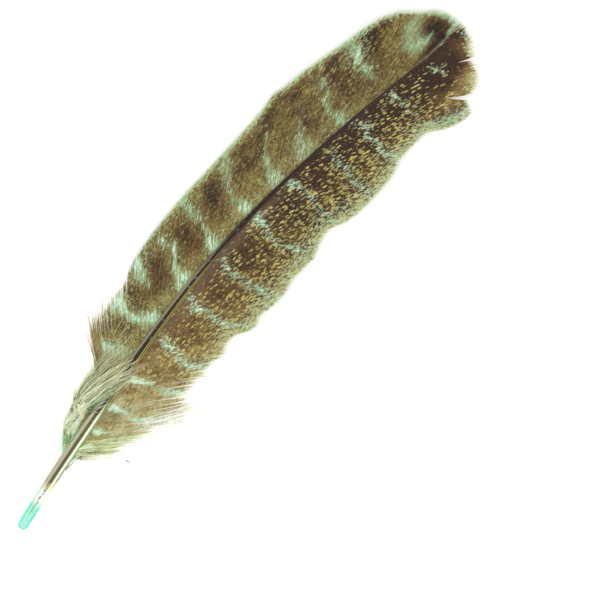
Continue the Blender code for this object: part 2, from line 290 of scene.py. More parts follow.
RIGHT_BARS = [
    [(3, 41, 1.5, 1.2), (5.5, 43, 1.3, 1.3), (8, 45, 1.1, 1.0)],
    [(3, 54, 1.9, 1.25), (6, 55, 1.4, 1.3), (10, 57.5, 1.1, 1.0)],
    [(5, 67.5, 1.8, 1.5), (9, 69, 1.4, 1.4), (12, 69.5, 1, 0.8), (14, 68.5, 1, 1.2),
     (18, 70, 1.4, 1.2), (23, 72.5, 1.8, 1.3)],
    [(5, 83, 1.8, 1.3), (8, 84.5, 1.9, 1.4), (12, 86, 1.5, 0.9), (14, 86.4, 0.9, 0.5),
     (18, 87, 1.2, 0.8), (22, 88.5, 1.7, 1.2), (26, 91, 1.7, 1.2), (31, 94, 1.4, 1.0)],
    [(3, 107, 1.5, 0.6), (5, 105.5, 1.8, 0.85), (10, 104.5, 2.0, 0.9), (14, 105, 1.6, 0.8),
     (16, 103.5, 1.5, 0.9), (20, 103, 1.8, 0.95), (25, 105.5, 2, 1.0), (30, 109, 1.6, 0.8)],
    [(2, 128.5, 2.2, 0.6), (5, 127.5, 2.6, 0.85), (8, 126, 2.2, 0.9), (14, 128, 1.6, 0.8),
     (19, 127.3, 1.8, 0.8), (23, 128.5, 1.4, 0.8), (25, 130, 1.2, 0.8), (29, 132.5, 1.2, 0.7),
     (34, 136.5, 1.6, 0.6)],
    [(2, 153.5, 1.8, 0.5), (5, 150.5, 1.8, 0.7), (8, 148.8, 1.6, 0.8), (12, 148.8, 1.6, 0.8),
     (17, 150, 1.2, 0.5), (22, 150.5, 1.8, 0.75), (26, 151.5, 2.4, 0.75), (34, 153, 2.6, 0.6)],
    [(2, 176, 3, 0.95), (5, 176, 2.6, 0.9), (9, 175, 2, 0.65), (13, 173, 1.4, 0.5),
     (18, 174, 1.2, 0.45), (22, 176, 1.8, 0.6), (25, 178, 2.2, 0.8), (31, 179, 2, 0.5)],
    [(1.5, 197, 2, 0.95), (5, 198, 1.5, 0.9), (8, 199, 1.2, 0.6), (13, 200, 1.4, 0.55),
     (20, 198, 1.4, 0.5), (28, 199.5, 1.5, 0.4)],
    [(2, 219, 1.2, 0.2), (7, 219, 1.4, 0.5), (12, 219.5, 1.4, 0.7), (15, 220, 1.3, 0.6),
     (22, 219, 1.5, 0.75), (31, 220.5, 2, 0.6)],
    [(3, 238, 2.2, 0.5), (6, 240, 2.4, 0.68), (10, 237, 1.4, 0.62), (15, 238.8, 1.3, 0.62),
     (19, 237.5, 1.9, 0.6), (24, 239.5, 2.4, 0.7), (29, 242, 2.6, 0.5)],
    [(2, 258, 1.5, 0.62), (5, 257.5, 1.8, 0.7), (8, 258, 1.3, 0.6), (10, 259, 1, 0.6),
     (13, 259.5, 0.8, 0.3)],
    [(5.5, 278.3, 1, 0.7), (7, 279.5, 1, 0.85), (9, 280.8, 0.9, 0.6)],
]
RIGHT_PALE_BLOTS = [
    (48, 5, 5, 2.5, 0.25), (268, 27.5, 9, 3.5, 0.65), (259, 15.5, 4, 1.6, 0.5),
    (262, 23.5, 6, 1.0, 0.75), (205, 25.5, 7, 0.8, 0.6), (274, 29, 5, 3.0, 0.45),
    (292, 18, 3, 2.5, 0.5), (298, 4, 2.6, 3.5, 0.6), (295.5, 10.5, 2.2, 3.0, 0.5),
]
# The three blots of negative strength near the tip are painted light: they lighten the curled tip where
# its lift shades it.
RIGHT_DARK_BLOTS = [
    (135, 13, 4, 4, 0.4), (158, 12, 7, 5, 0.3), (188, 12, 6, 6, 0.3), (254, 18.5, 3, 1.8, 0.6),
    (284, 9, 12, 7, 0.4), (193, 26, 4, 2, 0.5), (114, 13, 4, 5, 0.25), (295, 10, 5, 6, -1.3),
    (287, 20, 6, 5, -1.3), (276, 22, 5, 4, -0.7),
]

# Along the shaft, how dark and how speckled each side is, how pale its edge is, and how many
# millimetres that pale edge takes up.
LEFT_PIGMENT = [(68, 0.24), (90, 0.28), (110, 0.35), (150, 0.44), (166, 0.38), (200, 0.46), (218, 0.48),
                (240, 0.49), (262, 0.55), (275, 0.47), (300, 0.32)]
RIGHT_PIGMENT = [(39, 0.36), (46, 0.28), (54, 0.22), (70, 0.20), (88, 0.36), (100, 0.49),
                 (125, 0.62), (150, 0.78), (180, 0.88), (205, 1.00), (240, 1.14), (262, 1.08),
                 (300, 1.0)]
LEFT_SPECKS = [(68, -0.1), (100, 0.0), (160, 0.05), (215, 0.08), (255, 0.22), (275, 0.16), (285, -0.1)]
RIGHT_SPECKS = [(80, 0.0), (88, 0.18), (98, 0.34), (130, 0.48), (160, 0.54), (190, 0.60), (230, 0.64),
                (262, 0.66), (272, 0.50), (280, 0.16), (286, -0.1)]
LEFT_EDGE_PALE = [(68, 0.2), (110, 0.5), (150, 1.0), (220, 1.1), (260, 1.1), (285, 1.2), (300, 1.4)]
RIGHT_EDGE_PALE = [(39, 0.5), (88, 0.7), (110, 0.85), (140, 0.95), (200, 0.95), (260, 0.95), (280, 1.0),
                   (288, 1.15), (300, 1.4)]
EDGE_DEPTH = {
    LEFT: [(68, 1.5), (110, 3.0), (150, 4.5), (250, 4.5), (290, 5.0), (300, 7.0)],
    RIGHT: [(39, 3.0), (88, 6.0), (104, 10.0), (135, 14.0), (255, 12.0), (275, 9.0),
            (285, 6.0), (295, 8.0), (300, 8.0)],
}

BAR_SWELLING = 1.15
GLOW_SWELLING = 3.6
DARK_BLOT_SHARE = 0.46

# One side's markings. Its glow and haze are the flecks and the paleness that surround a bar, its
# bar specks are flecks inside one, and its wander is how far the markings stray, in millimetres.
MARKS = {
    LEFT: {"bars": LEFT_BARS, "pale": LEFT_PALE_BLOTS, "dark": LEFT_DARK_BLOTS,
           "pigment": LEFT_PIGMENT, "specks": LEFT_SPECKS, "edge_pale": LEFT_EDGE_PALE,
           "wander": 1.3, "glow": 0.0, "haze": 0.34, "bar_specks": 0.15},
    RIGHT: {"bars": RIGHT_BARS, "pale": RIGHT_PALE_BLOTS, "dark": RIGHT_DARK_BLOTS,
            "pigment": RIGHT_PIGMENT, "specks": RIGHT_SPECKS, "edge_pale": RIGHT_EDGE_PALE,
            "wander": 1.2, "glow": 0.26, "haze": 0.24, "bar_specks": 0.9},
}


def bar_strength(bars, station, width, swelling):
    """How strongly the pale bars show at each place, all made broader by one swelling."""
    shown = np.zeros_like(station)
    for bar in bars:
        across, along, half, strength = np.array(bar, float).T
        middle = smooth(list(zip(across, along)), width)
        breadth = np.interp(width, across, half) * swelling
        force = np.interp(width, across, strength)
        beyond = np.maximum(across[0] - 1.0 - width, width - across[-1] - 1.5)
        force = force * (1 - ease(beyond / 2.0))
        fading = ease((np.abs(station - middle) / breadth - 0.2) / 1.5)
        shown = np.maximum(shown, force * (1 - fading))
    return shown


def blot_strength(blots, station, width):
    """How strongly a list of blots shows at each place."""
    shown = np.zeros_like(station)
    for at, out, along, across, strength in blots:
        shown += strength * bump(station, at, along) * bump(width, out, across)
    return shown


def wander(station, width):
    """Slow uneven shifts of the markings, in millimetres."""
    first = np.sin(station * 0.9 + np.sin(width * 0.7) * 1.7) * np.sin(width * 1.13 + station * 0.21)
    second = np.sin(width * 2.1 - station * 0.33 + 1.3) * np.sin(station * 0.47 + width * 0.35)
    return 0.55 * first + 0.45 * second


def markings(side, station, width):
    """Pale, pigment and speck strengths, and how far each place is into the pale edge."""
    marks = MARKS[side]
    station = station + wander(station, width) * marks["wander"]
    edge = smooth(SIDES[side]["edge"], station)
    pale = bar_strength(marks["bars"], station, width, BAR_SWELLING)
    pale += blot_strength(marks["pale"], station, width)
    glow = bar_strength(marks["bars"], station, width, GLOW_SWELLING)
    pigment = smooth(marks["pigment"], station)
    pigment = pigment + blot_strength(marks["dark"], station, width) * DARK_BLOT_SHARE
    if side == LEFT:
        pigment -= 0.08 * (1 - ease((width - 2.0) / 8.0))
    else:
        pigment -= (0.08 + 0.20 * ease((station - 200.0) / 30.0)) * ease((width - 9.0) / 11.0)
    depth = smooth(EDGE_DEPTH[side], station)
    into_edge = ease((width - edge + depth) / depth) * smooth(marks["edge_pale"], station)
    specks = smooth(marks["specks"], station) * (0.55 + 1.0 * ease((width - 6.0) / 20.0))
    specks += marks["glow"] * glow
    if side == RIGHT:
        specks *= ease((width - 1.0 - 3.0 * bump(station, 140.0, 32.0)) / 1.2)
        specks *= 1 - ease((station - 270.0) / 8.0) * (1 - ease((width - 12.0) / 4.0))
    specks += marks["bar_specks"] * np.clip(pale, 0.0, 1.0)
    haze = marks["haze"] * glow * (1 + 0.5 * ease((width - 12.0) / 12.0))
    if side == LEFT:
        haze += 0.13 * (1 - ease((width - 1.0) / 11.0)) * bump(station, 200.0, 55.0)
    into_edge = np.maximum(into_edge, haze)
    return pale, pigment, specks, into_edge


# ---------------------------------------------------------------------------------------------
# Making meshes
# ---------------------------------------------------------------------------------------------

# How far apart the bars of a blank stand, half the base of one, and the least height above the
# floor at which a point is placed.
BLANK_GAP = 4.0
HALF_BASE = math.sqrt(3) / 2
LOWEST = 0.05


def bar_blank(name, count, segments):
    """Straight three-sided bars with a ridge on top, one unit long in X, in a row along Y."""
    bm = bmesh.new()
    bmesh.ops.create_cone(bm, cap_ends=True, segments=3, radius1=1.0, radius2=1.0, depth=1.0)
    ridge = max(bm.verts, key=lambda v: v.co.y).co
    turn = math.pi / 2 - math.atan2(ridge.y, ridge.x)
    for vert in bm.verts:
        x, y = vert.co.x, vert.co.y
        up = x * math.sin(turn) + y * math.cos(turn)
        across = x * math.cos(turn) - y * math.sin(turn)
        vert.co = (vert.co.z + 0.5, -across, up)
    long_edges = [e for e in bm.edges if abs(e.verts[0].co.x - e.verts[1].co.x) > 0.5]
    bmesh.ops.subdivide_edges(bm, edges=long_edges, cuts=segments - 1)
    bmesh.ops.recalc_face_normals(bm, faces=bm.faces[:])
    batch = math.isqrt(count) + 1
    for steps, gap in ((batch - 1, BLANK_GAP), (batch - 1, BLANK_GAP * batch)):
        everything = bm.verts[:] + bm.edges[:] + bm.faces[:]
        bmesh.ops.spin(bm, geom=everything, cent=(0, 0, 0), axis=(0, 0, 1), dvec=(0, gap, 0),
                       angle=0.0, steps=steps, use_duplicate=True)
    spare = [v for v in bm.verts if v.co.y > (count - 0.5) * BLANK_GAP]
    bmesh.ops.delete(bm, geom=spare, context="VERTS")
    return finished(name, bm)


def read_blank(mesh):
    """Bar number, way along, side (-1 to 1) and ridge (0 or 1) of every vertex of a row of bars."""
    co = vertices(mesh)
    number = np.round(co[:, 1] / BLANK_GAP).astype(int)
    side = np.round((co[:, 1] - number * BLANK_GAP) / HALF_BASE)
    return number, np.clip(co[:, 0], 0.0, 1.0), side, (co[:, 2] > 0.5).astype(float)


def vertices(mesh):
    """Where every vertex of a mesh is."""
    co = np.empty(len(mesh.vertices) * 3)
    mesh.vertices.foreach_get("co", co)
    return co.reshape(-1, 3)


def finished(name, bm):
    """The mesh of a bmesh that needs no more work."""
    mesh = bpy.data.meshes.new(name)
    bm.to_mesh(mesh)
    bm.free()
    return mesh


def place(mesh, points):
    """Move every vertex of a mesh to its point, given in the drawing's millimetres."""
    mesh.vertices.foreach_set("co", ((points + SHIFT) * MM).astype(np.float32).ravel())
    mesh.update()


def note(mesh, name, *values):
    """Keep up to three numbers for every vertex, for the material to read."""
    columns = [np.broadcast_to(value, len(mesh.vertices)) for value in values]
    columns += [np.zeros(len(mesh.vertices))] * (3 - len(columns))
    attribute = mesh.attributes.new(name, "FLOAT_VECTOR", "POINT")
    attribute.data.foreach_set("vector", np.stack(columns, axis=1).astype(np.float32).ravel())


def unfold(mesh, number, along, side, ridge):
    """A bake map with a row for every bar: its top faces in the left half, its underside right."""
    layer = mesh.uv_layers.new(name="OFBake")
    corner = np.empty(len(mesh.loops), int)
    mesh.loops.foreach_get("vertex_index", corner)
    start = np.empty(len(mesh.polygons), int)
    mesh.polygons.foreach_get("loop_start", start)
    ridged = np.maximum.reduceat(ridge[corner], start)
    size = np.diff(np.append(start, len(corner)))
    under = np.repeat(ridged < 0.5, size)
    rows = number.max() + 1
    u = 0.005 + 0.485 * along[corner] + np.where(under, 0.5, 0.0)
    v = (number[corner] + 0.5 + 0.42 * side[corner]) / rows
    layer.data.foreach_set("uv", np.stack([u, v], axis=1).astype(np.float32).ravel())


def join_meshes(name, meshes):
    """One mesh made of several that are already in place, with all their maps and notes."""
    bm = bmesh.new()
    for mesh in meshes:
        bm.from_mesh(mesh)
    joined = finished(name, bm)
    for mesh in meshes:
        bpy.data.meshes.remove(mesh)
    return joined


def add_piece(name, mesh, material, node):
    """Put a finished mesh in the scene in place of its solid."""
    mesh.materials.clear()
    mesh.materials.append(material)
    piece = bpy.data.objects.new(name, mesh)
    bpy.context.scene.collection.objects.link(piece)
    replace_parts(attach(piece, "root"), node)


# ---------------------------------------------------------------------------------------------
# Barbs
# ---------------------------------------------------------------------------------------------

# A barb starts inside the shaft, at a share of the shaft's half width, where it is pinched. Half
# its breadth keeps between two limits, in millimetres. Its ridge stands above the middle of the
# web, and its keel below it, by shares of its height.
BARB_SEGMENTS = 17
ROOT_INSIDE = 0.55
ROOT_PINCH = 0.35
HALF_BREADTHS = (0.09, 0.75)
RIDGE = 0.62
KEEL = 0.34

# Roots are spaced by a trial run of stations, where barbs never count as closer together than a
# share of the run between their roots. A clump takes up a run of roots between two lengths.
TRIAL_STEP = 0.25
SPREAD_FLOOR = 0.62
CLUMP_RUNS = (1.0, 4.2)

# How far neighbouring barbs have come unzipped along each side, from 0 to 1.
LOOSENESS = {
    LEFT: [(68, 0.8), (80, 0.5), (90, 0.28), (98, 0.12), (112, 0.08), (130, 0.06),
           (270, 0.08), (285, 0.1), (295, 0.04)],
    RIGHT: [(39, 1.0), (52, 0.8), (68, 0.55), (84, 0.34), (98, 0.14), (120, 0.08),
            (255, 0.08), (272, 0.16), (285, 0.16), (291, 0.08), (295, 0.04)],
}


def lean(side, root, width):
    """How far a barb runs along for each millimetre out."""
    slope = smooth(SIDES[side]["slope"], root)
    return slope + (smooth(SIDES[side]["slope_out"], root) - slope) * width / SLOPE_RUN


def root_stations(side, first, last, spacing):
    """Roots so close that no two neighbouring barbs run further apart than the spacing."""
    trial = np.arange(first, last, TRIAL_STEP)
    reach = barb_reach(side, trial)
    widest = np.zeros_like(trial)
    for share in np.linspace(0.05, 1.0, 9):
        width = share * reach
        spread = (barb_station(side, trial + 0.1, width) - barb_station(side, trial, width)) / 0.1
        widest = np.maximum(widest, spread / np.hypot(1.0, lean(side, trial, width)))
    wanted = np.cumsum(TRIAL_STEP * np.maximum(widest, SPREAD_FLOOR) / spacing)
    wanted = np.concatenate([[0.0], wanted])
    count = int(wanted[-1])
    return np.interp(np.arange(count) + 0.5, wanted, np.append(trial, last))


def clump_pull(roots, rng):
    """For each root, how far it lies from the middle of its clump, and which clump that is."""
    ends = [roots[0] - 1.0]
    while ends[-1] < roots[-1]:
        ends.append(ends[-1] + rng.uniform(*CLUMP_RUNS))
    ends = np.array(ends)
    group = np.clip(np.searchsorted(ends, roots) - 1, 0, len(ends) - 2)
    return (ends[group] + ends[group + 1]) / 2 - roots, group


def barb_mesh(name, side, roots, sizes, seed):
    """All the barbs of one vane from the given roots."""
    rng = np.random.default_rng(seed)
    shape = SIDES[side]
    loose = smooth(LOOSENESS[side], roots)
    pull, group = clump_pull(roots, rng)
    ragged = rng.normal(0.0, 1.0, len(roots)) * (0.25 + 2.0 * loose ** 2)
    ragged += rng.normal(0.0, 1.0, group.max() + 1)[group] * 1.1 * loose
    reach = barb_reach(side, roots)
    reach = np.maximum(0.35, reach + (ragged * 0.55 + 0.3) / np.hypot(1.0, lean(side, roots, reach)))
    sway = rng.normal(0.0, 1.0, len(roots)) * loose
    rise = rng.uniform(0.0, 1.0, len(roots)) * loose
    tint = rng.uniform(0.0, 1.0, len(roots))
    step = np.gradient(roots)

    mesh = bar_blank(name, len(roots), BARB_SEGMENTS)
    number, along, cross, ridge = read_blank(mesh)
    along = along ** 0.85
    root, far = roots[number], reach[number]
    start = smooth(SHAFT_WIDTH, root) / 2 * ROOT_INSIDE
    width = start + (far - start) * along
    station = barb_station(side, root, width)
    lay = lean(side, root, width)
    spread = (barb_station(side, root + 0.1, width) - station) / 0.1
    gap = step[number] * np.maximum(spread, 0.25) / np.hypot(1.0, lay)
    out = width - start

    free = ease((out / (far - start) - 0.35) / 0.65)
    station = station + (pull * loose)[number] * free * shape["clumping"] * spread
    station += sway[number] * 0.35 * ease((out - 6.0) / 14.0)
    for split_root, inner, opening, run in shape["splits"]:
        off = root - split_root
        parted = np.maximum(0.0, width - inner)
        station += np.copysign(opening * parted * np.exp(-np.abs(off) / run), off) * lay ** 0.5
    tip_run = sizes.tip_taper / MM * (1 + 1.6 * loose[number])
    left_over = np.clip((far - width) * np.hypot(1.0, lay) / tip_run, 0.0, 1.0)
    half = gap * 0.5 * sizes.barb_cover * (1 - 0.3 * loose[number] * free)
    half = np.clip(half, *HALF_BREADTHS) * (0.12 + 0.88 * left_over ** 0.7)
    half *= 1 - ROOT_PINCH * (1 - ease(out / 1.5))

    along_way = np.hypot(1.0, lay)
    at = station + cross * half / along_way
    wide = width - cross * half * lay / along_way
    thick = sizes.barb_height / MM * np.clip(half / 0.25, 0.3, 1.2)
    height = web_height(at, np.maximum(wide, 0.0), shape["curl"])
    height += thick * np.where(ridge > 0.5, RIDGE, -KEEL + 0.14 * cross)
    height += rise[number] * 0.5 * free
    x, y = on_plan(at, side * wide)
    place(mesh, np.stack([x, y, np.maximum(height, LOWEST)], axis=1))
    if side == LEFT:
        mesh.flip_normals()

    pale, pigment, specks, into_edge = markings(side, at, wide)
    note(mesh, "plan", at, wide, tint[number])
    note(mesh, "barb", root, width, tint[number])
    note(mesh, "marks", pale, pigment, specks)
    note(mesh, "wear", into_edge, loose[number] * ease(out / 12.0), left_over)
    unfold(mesh, number, along, cross, ridge)
    return mesh


# ---------------------------------------------------------------------------------------------
# Loose strands. A bundle is (start, middle, end, how many, spread, thickness, cream, mint,
# pigment, barbule length, waviness), and its points are (station, signed width, height).
# ---------------------------------------------------------------------------------------------

STRAND_SEGMENTS = 12
STRAND_FLOOR = 0.35
WAVE_ANGLES = (4.0, 11.0)
BARBULE_SEGMENTS = 2
BARBULE_SPACING = 1.3
BARBULE_HALF_BREADTH = 0.032
BARBULE_FLOOR = 0.25

LEFT_DOWN_STRANDS = [
    ((38, 2.4, 1.4), (43, 5.2, 1.6), (50, 8.8, 1.2), 16, 0.6, 0.30, 0.2, 1.4, 0.30, 1.0, 0.6),
    ((43, 3.0, 2.0), (48, 6.6, 2.4), (57, 9.8, 1.6), 16, 0.9, 0.32, 0.3, 1.4, 0.25, 1.2, 0.9),
    ((44, 3.0, 2.4), (50, 4.0, 3.2), (54, 8.2, 2.6), 14, 1.1, 0.32, 0.2, 1.4, 0.20, 1.3, 1.0),
    ((49, 3.6, 3.2), (52, 8.0, 3.4), (59, 6.4, 3.4), 13, 1.2, 0.30, 0.3, 1.3, 0.20, 1.3, 1.2),
    ((55, 4.4, 3.4), (54, 8.4, 3.4), (62, 9.6, 2.6), 11, 1.1, 0.30, 0.5, 1.1, 0.10, 1.3, 1.2),
    ((46, 2.8, 3.4), (51, 3.3, 4.0), (57, 4.6, 3.8), 7, 0.5, 0.30, 0.1, 1.5, 0.10, 0.8, 0.4),
    ((38.5, 2.6, 2.2), (40.5, 3.4, 2.4), (43.5, 4.4, 2.2), 6, 0.3, 0.32, 0.3, 1.5, 0.00, 0.6, 0.3),
    ((47, 4.0, 3.6), (54, 4.4, 4.0), (58, 8.0, 3.2), 9, 1.2, 0.26, 1.5, 0.1, 0.00, 1.2, 1.4),
    ((54, 5.0, 3.6), (60, 3.8, 4.4), (65, 8.0, 3.4), 10, 1.2, 0.26, 1.5, 0.1, 0.00, 1.2, 1.4),
    ((50, 5.6, 3.6), (56, 4.6, 4.6), (61, 6.6, 4.2), 9, 1.0, 0.26, 1.6, 0.1, 0.00, 1.2, 1.4),
    ((55, 7.0, 3.4), (64, 7.0, 5.0), (77, 2.4, 6.3), 7, 1.5, 0.24, 1.5, 0.0, 0.05, 0.9, 1.0),
    ((50, 8.5, 3.8), (53.5, 9.2, 4.8), (56.5, 7.2, 4.6), 5, 0.6, 0.34, 1.9, 0.0, 0.00, 0.8, 1.6),
    ((53, 4.6, 4.4), (55.5, 6.8, 5.2), (54, 9.0, 4.4), 5, 0.6, 0.34, 1.9, 0.0, 0.00, 0.8, 1.6),
    ((57, 5.0, 4.8), (58, 7.6, 5.4), (61, 8.6, 4.8), 5, 0.6, 0.34, 1.9, 0.0, 0.00, 0.8, 1.6),
    ((60, 9.4, 4.0), (58.5, 6.8, 5.0), (61.5, 5.0, 5.2), 4, 0.6, 0.34, 1.9, 0.0, 0.00, 0.8, 1.6),
    ((47, 5.0, 4.0), (49.5, 6.6, 4.8), (48, 8.0, 3.8), 3, 0.5, 0.32, 1.8, 0.2, 0.00, 0.7, 1.6),
    ((63, 7.4, 4.8), (60.5, 6.0, 5.4), (59, 8.6, 4.6), 3, 0.5, 0.32, 1.8, 0.0, 0.00, 0.7, 1.6),
    ((45, 6.0, 3.0), (47.5, 7.6, 3.6), (50, 7.4, 3.6), 5, 0.4, 0.26, 0.0, 0.2, 0.85, 0.6, 1.4),
    ((50, 9.0, 2.8), (53.5, 9.8, 3.4), (55, 8.2, 3.8), 5, 0.4, 0.26, 0.0, 0.2, 0.80, 0.6, 1.4),
    ((55.5, 9.6, 2.8), (58, 10.4, 3.2), (61, 9.4, 3.8), 4, 0.4, 0.26, 0.0, 0.2, 0.75, 0.6, 1.4),
    ((46, 3.4, 4.2), (47.5, 4.8, 4.6), (50, 5.0, 4.6), 4, 0.4, 0.26, 0.0, 0.3, 0.80, 0.6, 1.2),
    ((53, 6.6, 4.6), (56, 5.6, 5.0), (58, 6.6, 5.0), 3, 0.4, 0.24, 0.0, 0.2, 0.80, 0.6, 1.2),
    ((50, 7.4, 2.8), (57, 7.0, 3.4), (60, 10.2, 2.2), 7, 1.0, 0.24, 1.5, 0.2, 0.00, 1.2, 1.4),
    ((43, 3.6, 3.2), (46, 5.2, 3.6), (49, 6.2, 3.0), 8, 0.8, 0.28, 0.0, 0.4, 0.66, 0.9, 1.0),
    ((52, 5.6, 3.4), (55, 4.0, 3.8), (60, 4.6, 3.6), 6, 0.8, 0.26, 0.0, 0.3, 0.70, 0.9, 1.0),
    ((58, 3.4, 3.8), (63, 2.2, 5.2), (68, -1.2, 5.6), 12, 0.8, 0.30, 0.0, 0.2, 0.78, 0.7, 0.7),
    ((59, 9.4, 1.8), (69, 8.4, 4.4), (86, -1.2, 6.1), 7, 1.4, 0.26, 1.5, 0.0, 0.00, 0.6, 0.5),
    ((61, 8.0, 2.4), (72, 6.4, 5.6), (91, -3.5, 6.0), 5, 1.4, 0.24, 1.5, 0.0, 0.00, 0.5, 0.6),
    ((60, 10.0, 1.8), (72, 9.0, 3.8), (91, 0.4, 5.4), 9, 1.3, 0.26, 0.5, 0.1, 0.10, 0.6, 0.5),
    ((58, 9.2, 1.8), (69, 8.0, 4.4), (84, 0.6, 6.0), 12, 1.8, 0.26, 0.0, 0.4, 0.66, 0.8, 0.7),
    ((60, 5.0, 3.4), (70, 3.8, 5.8), (82, -0.8, 5.6), 10, 1.2, 0.26, 0.4, 0.7, 0.35, 0.6, 0.7),
    ((59, 5.4, 3.4), (67, 2.8, 5.8), (78, -1.3, 5.7), 22, 1.5, 0.18, 0.1, 0.5, 0.62, 1.0, 0.9),
    ((66, 4.0, 3.6), (73, 2.2, 5.8), (82, -0.8, 5.7), 12, 1.3, 0.18, 0.1, 0.3, 0.60, 1.0, 0.8),
    ((62, 11.0, 1.4), (74, 10.6, 2.4), (92, 4.6, 3.4), 15, 1.8, 0.26, 0.2, 0.3, 0.50, 0.7, 0.5),
    ((64, 11.0, 1.8), (73, 11.6, 2.8), (84, 7.4, 3.6), 4, 1.4, 0.22, 1.5, 0.0, 0.0, 0.6, 1.0),
    ((63, 12.0, 1.4), (76, 13.2, 1.8), (94, 9.5, 2.4), 13, 1.8, 0.25, 0.4, 0.2, 0.52, 0.7, 0.4),
    ((47, 7.4, 1.0), (58, 12.4, 1.2), (75, 12.4, 1.4), 4, 0.35, 0.22, 0.0, 0.1, 0.90, 0.4, 0.4),
    ((48, 7.0, 1.2), (60, 12.0, 1.4), (78, 12.0, 1.6), 7, 0.8, 0.24, 1.4, 0.1, 0.00, 0.5, 0.3),
    ((58, 10.5, 1.4), (62, 13.5, 1.2), (68, 16.0, 0.9), 2, 0.4, 0.18, 0.2, 0.0, 0.70, 0.4, 0.2),
]
LEFT_VANE_STRANDS = [
    ((88, 21.0, 2.2), (93, 24.0, 2.6), (96.5, 30.0, 3.2), 3, 0.3, 0.20, 0.0, 0.0, 0.40, 0.6, 0.1),
    ((100, 24.0, 2.2), (103, 26.5, 2.4), (106, 28.5, 2.6), 2, 0.3, 0.16, 0.0, 0.0, 0.30, 0.4, 0.1),
    ((96, 14.5, 1.6), (100, 15.2, 1.9), (104.5, 15.2, 1.6), 3, 0.3, 0.28, 0.0, 0.0, -0.60, 0.3, 0.1),
    ((96, 11.4, 1.4), (99, 11.8, 1.6), (102.5, 11.6, 1.4), 3, 0.3, 0.28, 0.0, 0.0, -0.60, 0.3, 0.1),
    ((98, 22.0, 2.0), (101, 22.5, 2.3), (106, 22.2, 2.0), 3, 0.4, 0.26, 0.0, 0.0, -0.60, 0.3, 0.1),
    ((76, 9.5, 1.2), (84, 15.0, 1.6), (93, 23.5, 2.4), 18, 1.4, 0.28, 0.0, 0.0, 0.15, 0.6, 0.2),
    ((83, 15.0, 1.4), (89, 20.0, 1.8), (97, 25.5, 2.4), 14, 1.2, 0.28, 0.0, 0.0, 0.25, 0.6, 0.2),
    ((294.0, 0.3, 8.2), (297.5, 0.2, 8.5), (300.8, 0.0, 9.0), 14, 0.42, 0.26, 0.5, 0.6, 0.4, 0.4, 0.0),
]
RIGHT_DOWN_STRANDS = [
    ((39, -2.2, 1.4), (42.5, -7.0, 1.2), (47, -12.5, 0.8), 7, 0.9, 0.22, 1.3, 0.3, 0.00, 0.8, 0.4),
    ((39, -2.2, 1.4), (42.5, -6.6, 1.2), (46, -11.0, 0.8), 8, 0.9, 0.24, 0.0, 0.1, 0.70, 0.8, 0.4),
    ((41, -3.0, 1.6), (46, -9.5, 1.4), (53, -19.0, 0.8), 7, 1.2, 0.20, 1.2, 0.2, 0.00, 0.8, 0.4),
    ((41, -3.0, 1.6), (46, -8.5, 1.4), (51, -15.0, 0.8), 8, 1.2, 0.24, 0.0, 0.1, 0.60, 0.8, 0.4),
    ((37.4, -2.3, 3.2), (39.5, -3.0, 3.2), (42, -4.4, 2.8), 6, 0.3, 0.34, 0.3, 1.6, 0.00, 0.4, 0.2),
    ((44, -2.4, 4.6), (46, -3.5, 4.6), (49, -6.2, 4.0), 8, 0.4, 0.34, 0.6, 1.5, 0.00, 0.4, 0.2),
    ((32.5, -2.6, 1.6), (36, -2.9, 1.6), (39.5, -4.4, 1.4), 2, 0.1, 0.28, 0.0, 0.0, 0.95, 0.3, 0.0),
    ((45, -12.0, 0.8), (50.5, -18.0, 0.8), (51.4, -24.6, 0.6), 2, 0.1, 0.12, 0.5, 0.0, 0.45, 0.3, 0.0),
    ((51.2, -22.6, 0.6), (51.5, -23.8, 0.6), (51.4, -25.0, 0.5), 5, 0.1, 0.20, 0.0, 0.0, 1.00, 0.5, 0.0),
]
RIGHT_VANE_STRANDS = [
    ((56, -13.0, 1.0), (62, -20.0, 1.0), (69, -27.0, 0.7), 14, 1.9, 0.12, 1.0, 0.0, 0.05, 0.9, 0.5),
    ((66, -18.0, 1.0), (75, -26.0, 1.0), (85, -34.0, 0.7), 16, 2.4, 0.12, 1.0, 0.0, 0.05, 1.0, 0.5),
    ((74, -22.0, 1.0), (82, -29.0, 1.0), (91, -35.5, 0.7), 13, 2.1, 0.12, 0.9, 0.0, 0.08, 1.0, 0.4),
    ((98, -22.0, 1.2), (104, -31.0, 1.2), (109.5, -38.0, 0.8), 2, 0.3, 0.21, 1.2, 0.1, 0.0, 0.5, 0.1),
    ((45, -2.6, 2.6), (52, -9.0, 2.3), (58, -17.5, 1.6), 9, 1.9, 0.18, 1.2, 0.3, 0.05, 0.8, 0.5),
    ((58, -2.6, 2.8), (68, -9.0, 2.6), (78, -17.0, 1.8), 9, 2.6, 0.16, 0.6, 0.0, 0.10, 0.8, 0.4),
]


def along_bend(start, middle, end, way):
    """Points on simple bends, each from its start to its end with its middle as the pull."""
    way = way[:, None]
    return (1 - way) ** 2 * start + 2 * way * (1 - way) * middle + way ** 2 * end


def heading(start, middle, end, way):
    """Unit directions of the same bends."""
    way = way[:, None]
    ahead = 2 * (1 - way) * (middle - start) + 2 * way * (end - middle)
    return ahead / np.linalg.norm(ahead, axis=1, keepdims=True)


